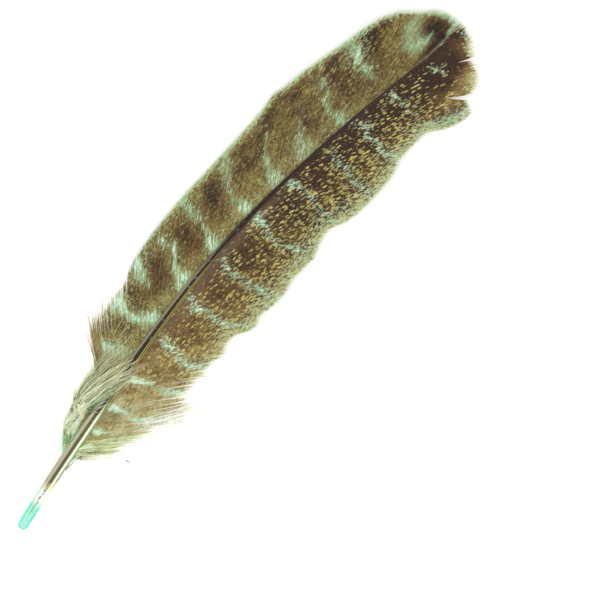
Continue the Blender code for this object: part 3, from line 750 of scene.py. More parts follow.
def bend_bars(mesh, start, middle, end, thickness, tip_share, waves):
    """Lay one bar of a row along each bend; waves are (height, how many radians, first angle)."""
    number, along, cross, ridge = read_blank(mesh)
    middle_line = along_bend(start[number], middle[number], end[number], along)
    ahead = heading(start[number], middle[number], end[number], along)
    level = np.hypot(ahead[:, 0], ahead[:, 1])
    swing = waves[number, 0] * along * np.sin(along * waves[number, 1] + waves[number, 2])
    middle_line[:, 0] += swing * ahead[:, 1] / level
    middle_line[:, 1] -= swing * ahead[:, 0] / level
    half = thickness[number] * (tip_share + (1 - tip_share) * np.sqrt(np.clip(1 - along, 0.0, 1.0)))
    at = middle_line[:, 0] + cross * half * ahead[:, 1] / level
    wide = middle_line[:, 1] - cross * half * ahead[:, 0] / level
    height = middle_line[:, 2] + half * np.where(ridge > 0.5, 0.7, -0.5)
    x, y = on_plan(at, wide)
    place(mesh, np.stack([x, y, np.maximum(height, LOWEST)], axis=1))
    mesh.flip_normals()
    unfold(mesh, number, along, cross, ridge)
    return number, along, at, np.abs(wide)


def strand_mesh(name, bundles, seed):
    """Loose strands with their barbules, from a list of bundles."""
    rng = np.random.default_rng(seed)
    rows = []
    for start, middle, end, count, spread, thickness, cream, mint, pigment, barbule, wave in bundles:
        for _ in range(count):
            aside = rng.normal(0.0, spread, 2)
            fan = rng.normal(0.0, spread * 0.8, 2)
            lifted = rng.uniform(-0.35, 0.35, 3)
            rows.append([
                np.array(start) + (aside[0] * 0.5, aside[1] * 0.3, lifted[0]),
                np.array(middle) + (aside[0], aside[1], lifted[1]),
                np.array(end) + (aside[0] + fan[0] * 1.6, aside[1] + fan[1], lifted[2]),
                thickness * rng.uniform(0.7, 1.5), cream * rng.uniform(0.6, 1.2),
                mint * rng.uniform(0.6, 1.3), pigment + rng.uniform(-0.25, 0.5), barbule,
                (wave * rng.uniform(0.3, 1.4), rng.uniform(*WAVE_ANGLES), rng.uniform(0.0, 6.3)),
            ])
    start, middle, end = (np.array([row[i] for row in rows]) for i in range(3))
    for points in (start, middle, end):
        points[:, 2] = np.maximum(points[:, 2], STRAND_FLOOR)
    thickness, pale, mint, pigment, barbule, waves = (
        np.array([row[i] for row in rows]) for i in range(3, 9))

    strands = bar_blank(name, len(rows), STRAND_SEGMENTS)
    number, along, at, wide = bend_bars(strands, start, middle, end, thickness / 2, 0.2, waves)
    tint = rng.uniform(0.0, 1.0, len(rows))
    note(strands, "plan", at, wide, tint[number])
    note(strands, "barb", start[number, 0], along * 12, tint[number])
    note(strands, "marks", pale[number], pigment[number], 0.0)
    note(strands, "wear", mint[number], 0.5, 1 - along)

    length = np.linalg.norm(end - start, axis=1)
    per_strand = np.maximum(2, (length / BARBULE_SPACING)).astype(int)
    owner = np.repeat(np.arange(len(rows)), per_strand)
    way = rng.uniform(0.12, 1.0, len(owner))
    root = along_bend(start[owner], middle[owner], end[owner], way)
    ahead = heading(start[owner], middle[owner], end[owner], way)
    turned = np.stack([-ahead[:, 1], ahead[:, 0], np.zeros(len(owner))], axis=1)
    turned *= np.where(rng.uniform(size=len(owner)) < 0.5, -1.0, 1.0)[:, None]
    reach = (barbule[owner] * rng.uniform(0.5, 1.2, len(owner)))[:, None]
    droop = rng.uniform(-0.25, 0.25, len(owner))
    first = root + (ahead * 0.55 + turned * 0.75) * reach * 0.5
    last = root + (ahead * 1.15 + turned * rng.uniform(0.5, 1.1, len(owner))[:, None]) * reach
    last[:, 2] += droop
    for points in (root, first, last):
        points[:, 2] = np.maximum(points[:, 2], BARBULE_FLOOR)
    fluff = bar_blank(name + "_barbules", len(owner), BARBULE_SEGMENTS)
    breadth = np.full(len(owner), BARBULE_HALF_BREADTH)
    still = np.zeros((len(owner), 3))
    number, along, at, wide = bend_bars(fluff, root, first, last, breadth, 0.5, still)
    note(fluff, "plan", at, wide, tint[owner][number])
    note(fluff, "barb", start[owner][number, 0], way[number] * 12, tint[owner][number])
    note(fluff, "marks", pale[owner][number], pigment[owner][number], 0.0)
    note(fluff, "wear", mint[owner][number], 0.5, 0.45)
    return join_meshes(name, [strands, fluff])


# ---------------------------------------------------------------------------------------------
# Materials
# ---------------------------------------------------------------------------------------------

class Finish:
    """One material, and short ways to add and join its nodes."""

    def __init__(self, name):
        self.material = bpy.data.materials.new(name)
        self.material.use_nodes = True
        self.tree = self.material.node_tree
        self.shader = self.tree.nodes["Principled BSDF"]

    def node(self, kind, inputs, **settings):
        """A new node with its inputs and settings."""
        node = self.tree.nodes.new(kind)
        for key, value in settings.items():
            setattr(node, key, value)
        for key, value in inputs.items():
            self.feed(node.inputs[key], value)
        return node

    def feed(self, socket, value):
        """Give an input a link or a plain value."""
        if isinstance(value, bpy.types.NodeSocket):
            self.tree.links.new(value, socket)
        else:
            socket.default_value = value

    def math(self, operation, first, second=0.0, third=0.0):
        """One step of arithmetic."""
        inputs = {0: first, 1: second, 2: third}
        return self.node("ShaderNodeMath", inputs, operation=operation).outputs[0]

    def add(self, *values):
        """All the values added up."""
        total = values[0]
        for value in values[1:]:
            total = self.math("ADD", total, value)
        return total

    def times(self, *values):
        """All the values multiplied."""
        product = values[0]
        for value in values[1:]:
            product = self.math("MULTIPLY", product, value)
        return product

    def step(self, value, low, high):
        """A soft rise from 0 at the low value to 1 at the high one."""
        inputs = {"Value": value, "From Min": low, "From Max": high}
        return self.node("ShaderNodeMapRange", inputs, interpolation_type="SMOOTHSTEP").outputs[0]

    def stretch(self, value, start, risen, falling, end):
        """1 between two values, with a soft rise before and a soft fall after."""
        return self.times(self.step(value, start, risen), self.step(value, end, falling))

    def near(self, value, none, full):
        """1 where a value is close to 0, and 0 where it is far on either side."""
        return self.step(self.math("ABSOLUTE", value), none, full)

    def mix(self, share, first, second):
        """A share of the second colour in the first."""
        colours = {0: share, 6: first, 7: second}
        return self.node("ShaderNodeMix", colours, data_type="RGBA").outputs[2]

    def stain(self, colour, stain, strength, *shares):
        """A colour under a stain, at most so strong, where all the shares say."""
        return self.mix(self.times(*shares, strength), colour, hue(stain))

    def scaled(self, vector, scale):
        """A vector with its three parts multiplied."""
        inputs = {0: vector, 1: scale}
        return self.node("ShaderNodeVectorMath", inputs, operation="MULTIPLY").outputs[0]

    def read(self, name):
        """A note kept on the mesh: the whole of it, then its three numbers."""
        attribute = self.node("ShaderNodeAttribute", {}, attribute_name=name)
        vector = attribute.outputs["Vector"]
        parts = self.node("ShaderNodeSeparateXYZ", {0: vector})
        return vector, parts.outputs[0], parts.outputs[1], parts.outputs[2]

    def grain(self, vector, scale, detail=2.0, roughness=0.5):
        """Noise about 0, from roughly -0.5 to 0.5."""
        inputs = {"Vector": self.scaled(vector, scale), "Scale": 1.0, "Detail": detail,
                  "Roughness": roughness}
        noise = self.node("ShaderNodeTexNoise", inputs, noise_dimensions="3D")
        return self.math("MULTIPLY_ADD", noise.outputs[0], 1.6, -0.8)

    def ramp(self, value, stops):
        """A colour read from (place, colour) stops."""
        ramp = self.node("ShaderNodeValToRGB", {0: value})
        elements = ramp.color_ramp.elements
        while len(elements) < len(stops):
            elements.new(0.5)
        for element, (at, colour) in zip(elements, stops):
            element.position = at
            element.color = (*screen(*colour), 1.0)
        return ramp.outputs[0]

    def bump(self, height, distance):
        """Fine relief, in metres."""
        inputs = {"Height": height, "Distance": distance, "Strength": 1.0}
        self.feed(self.shader.inputs["Normal"], self.node("ShaderNodeBump", inputs).outputs[0])

    def finish(self, colour, roughness, **constants):
        """The finished material; the constants are the shader's own sockets."""
        self.feed(self.shader.inputs["Base Color"], colour)
        self.feed(self.shader.inputs["Roughness"], roughness)
        for name, value in constants.items():
            self.shader.inputs[name.replace("_", " ")].default_value = value
        return self.material


def fleck_shape(f, sizes, at, wide, mottle, streak, dense):
    """How strongly the flecks show: short dashes that lie nearly along the shaft.

    Each dash has a cell of its own, and a cell has none where chance is against it.
    """
    slant = f.math("MULTIPLY_ADD", at, -0.20, wide)
    dash_at = f.node("ShaderNodeCombineXYZ", {
        0: f.math("MULTIPLY_ADD", mottle, 0.45, f.times(at, MM / sizes.fleck_length)),
        1: f.math("MULTIPLY_ADD", streak, 0.55, f.times(slant, MM / sizes.fleck_breadth))}).outputs[0]
    cells = f.node("ShaderNodeTexVoronoi", {"Vector": dash_at, "Scale": 1.0, "Randomness": 1.0},
                   voronoi_dimensions="2D")
    chance = f.node("ShaderNodeSeparateXYZ", {0: cells.outputs["Color"]})
    wanted = f.step(f.math("SUBTRACT", dense, chance.outputs[0]), -0.06, 0.04)
    size = f.add(f.times(chance.outputs[1], 0.34), f.times(mottle, 0.5), f.times(streak, 0.25), 0.16)
    inside = f.step(f.math("SUBTRACT", size, cells.outputs["Distance"]), -0.05, 0.09)
    return f.times(inside, wanted, f.math("MULTIPLY_ADD", chance.outputs[2], 0.45, 0.55))


def barb_material(name, tones, palette):
    """Horny barbs: pigment, jagged pale bars, cream flecks and a bleached edge."""
    sizes, look, _ = settings()
    f = Finish(name)
    plan, at, wide, tint = f.read("plan")
    barb, _, _, _ = f.read("barb")
    _, pale, pigment, specks = f.read("marks")
    _, into_edge, loose, left_over = f.read("wear")

    streak = f.grain(barb, (1.9, 0.28, 3.0), 2.0, 0.6)
    fine = f.grain(barb, (2.0, 1.3, 5.0), 2.0, 0.6)
    mottle = f.grain(plan, palette["mottle_scale"], 4.0, 0.66)
    cloud = f.grain(plan, (0.16, 0.2, 0.0), 2.0, 0.5)
    own = f.math("SUBTRACT", tint, 0.5)

    # The brown, its golden clouds, and the smooth strip along the shaft with its painted purple sheen.
    depth = f.add(pigment, f.times(mottle, palette["mottle"]), f.times(streak, palette["streak"]),
                  f.times(fine, palette["fine"]), f.times(cloud, 0.42),
                  f.times(own, palette["streak"] * 0.6))
    colour = f.ramp(depth, palette["pigment"])
    clouds = f.step(f.grain(plan, (0.21, 0.33, 0.0), 3.0, 0.6), 0.0, 0.5)
    colour = f.stain(colour, tones.golden, palette["golden_share"], clouds, f.step(depth, 1.0, 0.5))
    # Painted sheen: a mauve tint on the smooth strip beside the shaft.
    colour = f.stain(colour, tones.strip, palette["sheen_strip_share"], f.step(wide, 6.5, 2.0),
                     f.stretch(at, 96.0, 118.0, 160.0, 205.0))

    # The bleached edge, frayed into the brown.
    fray = f.grain(plan, (0.55, 1.8, 0.0), 3.0, 0.62)
    bleached = f.add(into_edge, f.times(fray, 2.2), f.times(mottle, 0.5), f.times(streak, 0.8))
    colour = f.stain(colour, tones.edge, 0.85, f.step(bleached, 0.40, 0.95))

    # The flecks, whiter near the bars and the edge.
    dense = f.add(specks, f.times(into_edge, 0.35), f.times(cloud, 0.30))
    near_pale = f.step(f.add(f.times(into_edge, 0.6), f.times(cloud, 0.8), f.times(pale, 1.2)), 0.05, 0.7)
    fleck_colour = f.mix(near_pale, hue(tones.fleck), hue(tones.bright))
    fleck_colour = f.mix(f.step(pale, 0.25, 0.9), fleck_colour, hue(tones.white))
    colour = f.mix(fleck_shape(f, sizes, at, wide, mottle, streak, dense), colour, fleck_colour)

    # The bars, drawn out along the barbs.
    drawn_out = f.math("MULTIPLY_ADD", f.step(at, 285.0, 230.0), palette["ragged"], 0.4)
    ragged = f.add(f.times(streak, drawn_out), f.times(mottle, 1.1), f.times(own, 0.35))
    shown = f.math("MULTIPLY_ADD", f.step(pale, 0.0, 0.5), ragged, pale)
    faint, full = palette["bar_rise"]
    colour = f.stain(colour, tones.bar, palette["bar_share"], f.step(shown, faint, full))
    colour = f.stain(colour, tones.white, 0.95, f.step(shown, full, 1.12))

    # The worn tips of the barbs.
    worn = f.times(f.step(left_over, 0.8, 0.0), f.math("MULTIPLY_ADD", loose, 0.5, 0.5))
    tip_colour = f.mix(f.step(loose, 0.07, 0.24), hue(tones.bright), hue(tones.wisp))
    colour = f.mix(worn, colour, tip_colour)

    roughness = f.math("MULTIPLY_ADD", streak, 0.25, look.barb_roughness)
    f.bump(f.add(streak, mottle), 0.00006)
    return f.finish(colour, roughness, Specular_IOR_Level=0.35, Sheen_Weight=0.12,
                    Sheen_Roughness=0.5)


# A web's brown from its lightest to its darkest, how strongly each kind of grain shifts it, the
# most that the golden clouds and the painted purple sheen of the smooth strip cover, and how ragged
# and how full the bars are.
LEFT_PALETTE = {
    "pigment": [(0.0, (184, 180, 122)), (0.25, (156, 146, 84)), (0.45, (130, 110, 60)),
                (0.7, (100, 74, 42)), (1.0, (54, 34, 28))],
    "mottle": 1.0, "mottle_scale": (0.75, 1.0, 0.0), "streak": 0.34, "fine": 0.42,
    "golden_share": 0.45, "sheen_strip_share": 0.0, "ragged": 1.3, "bar_rise": (0.22, 0.86),
    "bar_share": 0.86,
}
RIGHT_PALETTE = {
    "pigment": [(0.0, (212, 208, 166)), (0.2, (182, 168, 114)), (0.45, (142, 116, 68)),
                (0.7, (108, 80, 46)), (1.0, (66, 44, 30))],
    "mottle": 0.5, "mottle_scale": (0.55, 0.9, 0.0), "streak": 0.22, "fine": 0.2,
    "golden_share": 0.3, "sheen_strip_share": 0.55, "ragged": 1.0, "bar_rise": (0.40, 0.98),
    "bar_share": 0.75,
}
DOWN_PALETTE = {
    "pigment": [(0.0, (240, 242, 196)), (0.25, (216, 220, 158)), (0.5, (162, 170, 106)),
                (0.75, (100, 108, 62)), (1.0, (46, 48, 28))],
    "mottle": 0.9, "mottle_scale": (1.2, 1.6, 0.0), "streak": 0.5, "fine": 0.3,
    "golden_share": 0.15, "sheen_strip_share": 0.0, "ragged": 1.5, "bar_rise": (0.2, 0.7),
    "bar_share": 0.88,
}

# The horn's colours across the shaft, from its right edge at 0 to its left edge at 1, and the
# stations over which each stretch gives way to the next. Some bands are painted light: the pale
# bands of the clear and paling stretches are light seen through the horn, and the white band of
# the calamus and the two bright yellow lines of the rachis are painted highlights.
HORN_BANDS = {
    # The pale bands here are painted light seen through the clear horn.
    "clear": [
        (0.0, (180, 242, 226)), (0.06, (96, 242, 208)), (0.12, (70, 250, 212)),
        (0.24, (150, 252, 230)), (0.38, (240, 255, 250)), (0.48, (96, 226, 124)),
        (0.56, (120, 232, 140)), (0.66, (236, 255, 250)), (0.8, (110, 250, 218)),
        (0.9, (66, 246, 206)), (0.95, (96, 242, 208)), (1.0, (180, 242, 226))],
    # The near-white middle is painted light seen through the clear horn.
    "paling": [
        (0.0, (206, 236, 196)), (0.08, (236, 246, 226)), (0.2, (254, 254, 250)),
        (0.5, (252, 252, 244)), (0.8, (254, 254, 250)), (0.9, (170, 236, 180)),
        (1.0, (196, 240, 200))],
    # The white band from 0.18 to 0.30 is a painted highlight.
    "calamus": [
        (0.0, (160, 184, 128)), (0.07, (132, 142, 74)), (0.13, (164, 194, 116)),
        (0.18, (248, 250, 242)), (0.30, (244, 246, 234)), (0.35, (122, 126, 80)),
        (0.41, (78, 86, 30)), (0.56, (88, 96, 38)), (0.62, (130, 122, 80)),
        (0.67, (204, 196, 174)), (0.74, (176, 162, 138)), (0.80, (204, 194, 172)),
        (0.87, (176, 168, 132)), (0.92, (110, 122, 66)), (0.96, (206, 220, 176)),
        (1.0, (150, 176, 120))],
    # The bright yellow lines at 0.045 and 0.245 are painted highlights.
    "rachis": [
        (0.0, (104, 94, 52)), (0.045, (226, 214, 108)), (0.085, (72, 64, 25)),
        (0.20, (82, 73, 30)), (0.245, (222, 210, 112)), (0.285, (72, 64, 28)),
        (0.36, (58, 51, 28)), (0.45, (44, 39, 25)), (0.60, (50, 45, 33)),
        (0.70, (96, 85, 64)), (0.78, (172, 155, 134)), (0.85, (124, 110, 86)),
        (0.91, (152, 140, 110)), (1.0, (120, 118, 80))],
    "dark": [
        (0.0, (66, 40, 20)), (0.25, (56, 32, 18)), (0.45, (22, 11, 8)), (0.6, (24, 12, 9)),
        (0.8, (50, 30, 19)), (1.0, (50, 31, 19))],
}
HORN_RUNS = {"paling": (11.0, 15.5), "calamus": (18.5, 25.0), "rachis": (58.0, 72.0),
             "dark": (128.0, 172.0)}
CLEAR_RUN = (15.0, 9.0)
CLEAREST = 0.6


def horn_material(look, tones):
    """The shaft: a clear mint tip, a banded calamus, and a grooved shaft that darkens to brown, with
    painted highlights and painted light through the clear tip.
    """
    f = Finish("Shaft horn")
    skin, at, across, up = f.read("skin")
    ripple = f.grain(skin, (0.10, 5.0, 0.0), 3.0, 0.55)
    patch = f.grain(skin, (0.5, 1.6, 0.0), 3.0, 0.6)
    where = f.math("MULTIPLY_ADD", patch, 3.0, at)
    place_across = f.math("MULTIPLY_ADD", ripple, 0.022, f.math("MULTIPLY_ADD", across, 0.5, 0.5))
    bands = {name: f.ramp(place_across, stops) for name, stops in HORN_BANDS.items()}

    # Painted light: the pale middle where light shows through the clear tip.
    colour = f.stain(bands["clear"], tones.painted_refraction, 1.0, f.near(across, 0.34, 0.12),
                     f.step(at, 9.6, 6.5))
    for name in ("paling", "calamus"):
        colour = f.mix(f.step(where, *HORN_RUNS[name]), colour, bands[name])
    colour = f.stain(colour, tones.dab, 0.7, f.stretch(where, 20.0, 21.5, 23.0, 25.0),
                     f.near(f.math("ADD", across, 0.12), 0.35, 0.1))
    # Painted highlight: a bright line on the top of the calamus along its right edge.
    colour = f.stain(colour, tones.line, 0.85, f.stretch(where, 18.5, 20.0, 25.0, 27.0),
                     f.step(up, 0.1, 0.35), f.step(across, -0.7, -0.86))
    colour = f.stain(colour, tones.pith, 0.9, f.stretch(at, 12.6, 13.4, 21.0, 22.0),
                     f.near(f.math("MULTIPLY_ADD", ripple, 0.3, across), 0.26, 0.12),
                     f.step(f.grain(skin, (1.1, 1.5, 0.0), 3.0, 0.6), -0.06, 0.06))
    for name in ("rachis", "dark"):
        colour = f.mix(f.step(where, *HORN_RUNS[name]), colour, bands[name])
    colour = f.stain(colour, tones.dirt, 0.25, f.step(patch, 0.0, 0.6))
    colour = f.stain(colour, tones.glint, 1.0, f.near(across, 0.3, 0.08),
                     f.stretch(at, 62.0, 70.0, 160.0, 215.0),
                     f.step(f.grain(skin, (0.42, 0.6, 0.0), 2.0, 0.5), 0.13, 0.26))
    # Painted highlight: a pale line along the middle of the shaft's far end.
    colour = f.stain(colour, tones.tip, 0.8, f.step(at, 270.0, 292.0), f.near(across, 0.7, 0.2))

    f.feed(f.shader.inputs["Transmission Weight"], f.times(f.step(where, *CLEAR_RUN), CLEAREST))
    roughness = f.math("MULTIPLY_ADD", patch, 0.12, look.horn_roughness)
    f.bump(f.add(ripple, f.times(patch, 0.4)), 0.00005)
    return f.finish(colour, roughness, IOR=1.5, Specular_IOR_Level=0.35,
                    Coat_Weight=0.06, Coat_Roughness=0.25)


def pith_material():
    """The dried pith inside the clear tip."""
    f = Finish("Dry pith")
    texture = f.node("ShaderNodeTexCoord", {}).outputs["Object"]
    fleck = f.grain(texture, (1500.0, 2600.0, 2600.0), 3.0, 0.65)
    colour = f.ramp(f.math("MULTIPLY_ADD", fleck, 0.9, 0.5), [
        (0.0, (44, 42, 24)), (0.5, (70, 72, 40)), (0.66, (150, 150, 104)), (1.0, (226, 226, 200))])
    f.bump(fleck, 0.00015)
    return f.finish(colour, f.math("MULTIPLY_ADD", fleck, 0.2, 0.7), Specular_IOR_Level=0.25)


def floor_material(look):
    """The pale paper that the feather lies on."""
    f = Finish("Pale paper")
    texture = f.node("ShaderNodeTexCoord", {}).outputs["Object"]
    tooth = f.grain(texture, (900.0, 900.0, 900.0), 4.0, 0.6)
    red, green, blue = look.paper
    colour = f.mix(f.math("MULTIPLY_ADD", tooth, 0.25, 0.5), (red, green, blue, 1.0),
                   (red * 0.985, green * 0.985, blue * 0.985, 1.0))
    return f.finish(colour, 0.9, Specular_IOR_Level=0.1, Emission_Color=(1.0, 1.0, 1.0, 1.0),
                    Emission_Strength=look.paper_glow)


# ---------------------------------------------------------------------------------------------
# Shaft and pith
# ---------------------------------------------------------------------------------------------

SHAFT_SIDES = 48
SHAFT_RINGS = 150
RING_STATIONS = [(0.0, 0.0), (0.05, 2.4), (0.35, 70.0), (1.0, SHAFT_LENGTH)]


def tube_blank(sides, rings):
    """A straight closed tube along X, one unit long, cut into rings."""
    bm = bmesh.new()
    bmesh.ops.create_cone(bm, cap_ends=True, segments=sides, radius1=1.0, radius2=1.0, depth=1.0)
    for vert in bm.verts:
        vert.co = (vert.co.z + 0.5, vert.co.x, vert.co.y)
    long_edges = [e for e in bm.edges if abs(e.verts[0].co.x - e.verts[1].co.x) > 0.5]
    bmesh.ops.subdivide_edges(bm, edges=long_edges, cuts=rings - 2)
    bmesh.ops.recalc_face_normals(bm, faces=bm.faces[:])
    return bm


def shaft_mesh():
    """The whole shaft, with its groove, its bow and its lifted ends."""
    bm = tube_blank(SHAFT_SIDES, SHAFT_RINGS)
    mesh = finished("shaft_horn", bm)
    co = vertices(mesh)
    share, stop = np.array(RING_STATIONS).T
    station = np.interp(co[:, 0], share, stop)
    points, across = shaft_skin(station, np.arctan2(co[:, 2], co[:, 1]))
    place(mesh, points)
    note(mesh, "skin", station, across, co[:, 2])
    mesh.shade_smooth()
    return mesh


def pith_mesh(sizes):
    """A lumpy spindle of pith along the middle of the clear tip."""
    bm = bmesh.new()
    bmesh.ops.create_icosphere(bm, subdivisions=4, radius=1.0)
    first, last = sizes.pith_start / MM, sizes.pith_end / MM
    for vert in bm.verts:
        station = first + (last - first) * (vert.co.x + 1) / 2
        lumps = 1 + 0.35 * math.sin(station * 4.1) + 0.2 * math.sin(station * 9.3 + 1)
        swell = 0.12 + 0.42 * float(ease((station - first) / (last - first)))
        x, y = on_plan(station, vert.co.y * swell * lumps + 0.12 * math.sin(station * 1.7))
        middle = float(lift(station) + smooth(SHAFT_HEIGHT, station) / 2)
        vert.co = (x, y, middle + vert.co.z * swell * lumps * 0.8)
    mesh = finished("quill_pith", bm)
    place(mesh, vertices(mesh))
    mesh.shade_smooth()
    return mesh


# ---------------------------------------------------------------------------------------------
# Settings
# ---------------------------------------------------------------------------------------------

def tone(name, description, red, green, blue):
    """A colour that a user can change, given as it looks on a screen, 0 to 255."""
    return FloatVectorProperty(name=name, description=description, default=screen(red, green, blue),
                               subtype="COLOR", size=3, min=0.0, max=1.0)


class LeftColours(PropertyGroup):
    """Colours of the left vane's markings."""

    golden: tone("Golden", "Cloudy golden patches in the brown", 138, 104, 44)
    edge: tone("Edge", "The bleached outer edge", 204, 224, 178)
    fleck: tone("Fleck", "Flecks away from the bars", 180, 170, 98)
    bright: tone("Bright fleck", "Flecks near the bars and the tips of the barbs", 200, 222, 188)
    bar: tone("Bar", "The pale bars", 172, 204, 160)
    white: tone("Bar middle", "The palest parts of the bars", 220, 240, 222)
    wisp: tone("Wisp", "Tips of the loose barbs", 190, 166, 108)
    strip: tone("Strip", "Smooth strip along the shaft", 132, 112, 84)


class RightColours(PropertyGroup):
    """Colours of the right vane's markings."""

    golden: tone("Golden", "Cloudy golden patches in the brown", 122, 92, 44)
    edge: tone("Edge", "The bleached outer edge", 208, 216, 164)
    fleck: tone("Fleck", "Flecks away from the bars", 222, 212, 128)
    bright: tone("Bright fleck", "Flecks near the bars and the tips of the barbs", 208, 222, 180)
    bar: tone("Bar", "The pale bars", 172, 204, 162)
    white: tone("Bar middle", "The palest parts of the bars", 226, 244, 222)
    wisp: tone("Wisp", "Tips of the loose barbs", 246, 238, 206)
    # Painted purple sheen on the smooth strip beside the shaft.
    strip: tone("Strip", "Smooth strip along the shaft", 142, 116, 102)


class DownColours(PropertyGroup):
    """Colours of the down."""

    golden: tone("Golden", "Cloudy golden patches", 170, 160, 96)
    edge: tone("Mint", "The mint strands", 146, 236, 172)
    fleck: tone("Fleck", "Flecks on the darker strands", 206, 200, 156)
    bright: tone("Bright", "Tips of the smoother strands", 240, 244, 214)
    bar: tone("Cream", "The cream strands", 246, 245, 202)
    white: tone("Palest cream", "The palest strands", 250, 253, 230)
    wisp: tone("Wisp", "Tips of the loose strands", 244, 246, 208)
    strip: tone("Strip", "Strands close to the shaft", 170, 160, 96)


class HornColours(PropertyGroup):
    """Colours of the marks on the shaft."""

    # Painted light: the pale middle of the clear tip where light shows through.
    painted_refraction: tone("Hollow", "Middle of the clear tip", 170, 255, 236)
    dab: tone("Dab", "Golden dab where the clear stretch ends", 204, 176, 70)
    # Painted highlight along the calamus's right edge.
    line: tone("Line", "Bright line along the right edge beside the dab", 250, 234, 130)
    pith: tone("Pith", "Flecks of dried pith seen through the horn", 96, 104, 62)
    dirt: tone("Dirt", "Uneven dull patches", 90, 76, 58)
    glint: tone("Glint", "Small blue glints along the groove", 140, 180, 204)
    # Painted highlight on the shaft's far end.
    tip: tone("Tip", "The paler middle of the shaft's far end", 168, 176, 140)


class FeatherSizes(PropertyGroup):
    """Sizes of the barbs, the flecks and the pith."""

    barb_spacing: FloatProperty(
        name="Barb spacing", description="Widest gap between the middle lines of neighbouring barbs",
        default=0.56 * MM, min=0.3 * MM, max=2.0 * MM, unit="LENGTH")
    barb_cover: FloatProperty(
        name="Barb cover", description="Breadth of a barb as a share of the gap to its neighbour",
        default=1.32, min=0.5, max=2.0, subtype="FACTOR")
    barb_height: FloatProperty(
        name="Barb height", description="Height of the ridge of a barb of middling breadth",
        default=0.34 * MM, min=0.05 * MM, max=1.0 * MM, unit="LENGTH")
    tip_taper: FloatProperty(
        name="Tip taper", description="Length over which a barb thins out to its tip",
        default=3.2 * MM, min=0.5 * MM, max=10.0 * MM, unit="LENGTH")
    fleck_length: FloatProperty(
        name="Fleck length", description="Spacing of the cream flecks along the shaft",
        default=2.8 * MM, min=0.5 * MM, max=8.0 * MM, unit="LENGTH")
    fleck_breadth: FloatProperty(
        name="Fleck breadth", description="Spacing of the cream flecks across the vane",
        default=0.78 * MM, min=0.3 * MM, max=8.0 * MM, unit="LENGTH")
    pith_start: FloatProperty(
        name="Pith start", description="Where the dried pith begins, from the quill tip",
        default=12.0 * MM, unit="LENGTH")
    pith_end: FloatProperty(
        name="Pith end", description="Where the dried pith ends, from the quill tip",
        default=27.0 * MM, unit="LENGTH")
    seed: IntProperty(
        name="Seed", description="Changes which barbs stray and how", default=7, min=0)


class FeatherLook(PropertyGroup):
    """Finishes that a user would change."""

    barb_roughness: FloatProperty(
        name="Barb roughness", description="Roughness of the vanes", default=0.68, min=0.0, max=1.0,
        subtype="FACTOR")
    horn_roughness: FloatProperty(
        name="Horn roughness", description="Roughness of the shaft", default=0.30, min=0.0, max=1.0,
        subtype="FACTOR")
    paper: FloatVectorProperty(
        name="Paper", description="Colour of the floor", default=(0.93, 0.93, 0.925), subtype="COLOR",
        size=3, min=0.0, max=1.0)
    paper_glow: FloatProperty(
        name="Paper glow", description="Light given off by the floor, which keeps soft shadows faint",
        default=0.27, min=0.0, max=1.0, subtype="FACTOR")


class StageSettings(PropertyGroup):
    """Camera and lights."""

    aim: FloatVectorProperty(
        name="Aim", description="Point on the floor that the camera looks down on",
        default=(8.7 * MM, -33.3 * MM, 0.0), subtype="TRANSLATION", unit="LENGTH", size=3)
    turn: FloatProperty(
        name="Turn", description="Turn of the camera about the vertical",
        default=math.radians(-49.3), subtype="ANGLE")
    field: FloatProperty(
        name="Field", description="Width of floor that the camera takes in", default=270 * MM,
        unit="LENGTH")
    lens: FloatProperty(
        name="Lens", description="Focal length of the camera", default=110.0, min=20.0, max=300.0,
        unit="CAMERA")
    dome: FloatProperty(
        name="Dome", description="Strength of the even light from all round", default=1.0, min=0.0,
        max=5.0)
    window: FloatProperty(
        name="Window", description="Power of the large soft lamp", default=3.5, min=0.0, max=200.0,
        unit="POWER")
    window_size: FloatProperty(
        name="Window size", description="Width and height of the large soft lamp", default=1.2,
        min=0.1, max=4.0, unit="LENGTH")
    window_place: FloatVectorProperty(
        name="Window place", description="Where the large soft lamp hangs, facing the feather",
        default=(-0.2, -1.1, 1.3), subtype="TRANSLATION", unit="LENGTH", size=3)
    floor_reach: FloatProperty(
        name="Floor reach", description="How far the floor runs out from its middle", default=2.0,
        min=0.5, max=10.0, unit="LENGTH")


def settings():
    """Sizes, look and stage settings of this scene."""
    scene = bpy.context.scene
    return scene.feather_sizes, scene.feather_look, scene.feather_stage


def colours():
    """Colours of the left vane, the right vane, the down and the horn."""
    scene = bpy.context.scene
    return scene.feather_left, scene.feather_right, scene.feather_down, scene.feather_horn


# ---------------------------------------------------------------------------------------------
# Operators
# ---------------------------------------------------------------------------------------------

WEB_END = 295.0
LEFT_WEB_START = 67.5
RIGHT_WEB_START = 47.0
LEFT_DOWN_START = 38.0
RIGHT_DOWN_START = 39.0


def build_web(node, side, roots, strands, material, seed):
    """Build the barbs between two root stations, and the loose strands, as one piece."""
    sizes = settings()[0]
    name = node + "_barbs"
    spaced = root_stations(side, *roots, sizes.barb_spacing / MM)
    barbs = barb_mesh(name, side, spaced, sizes, sizes.seed + seed)
    loose = strand_mesh(node + "_strands", strands, sizes.seed + seed + 1)
    add_piece(name, join_meshes(name, [barbs, loose]), material, node)


def add_floor(look, stage):
    """The pale floor."""
    bm = bmesh.new()
    bmesh.ops.create_grid(bm, x_segments=8, y_segments=8, size=stage.floor_reach)
    mesh = finished("floor", bm)
    mesh.materials.append(floor_material(look))
    floor = bpy.data.objects.new("floor", mesh)
    bpy.context.scene.collection.objects.link(floor)
    return floor


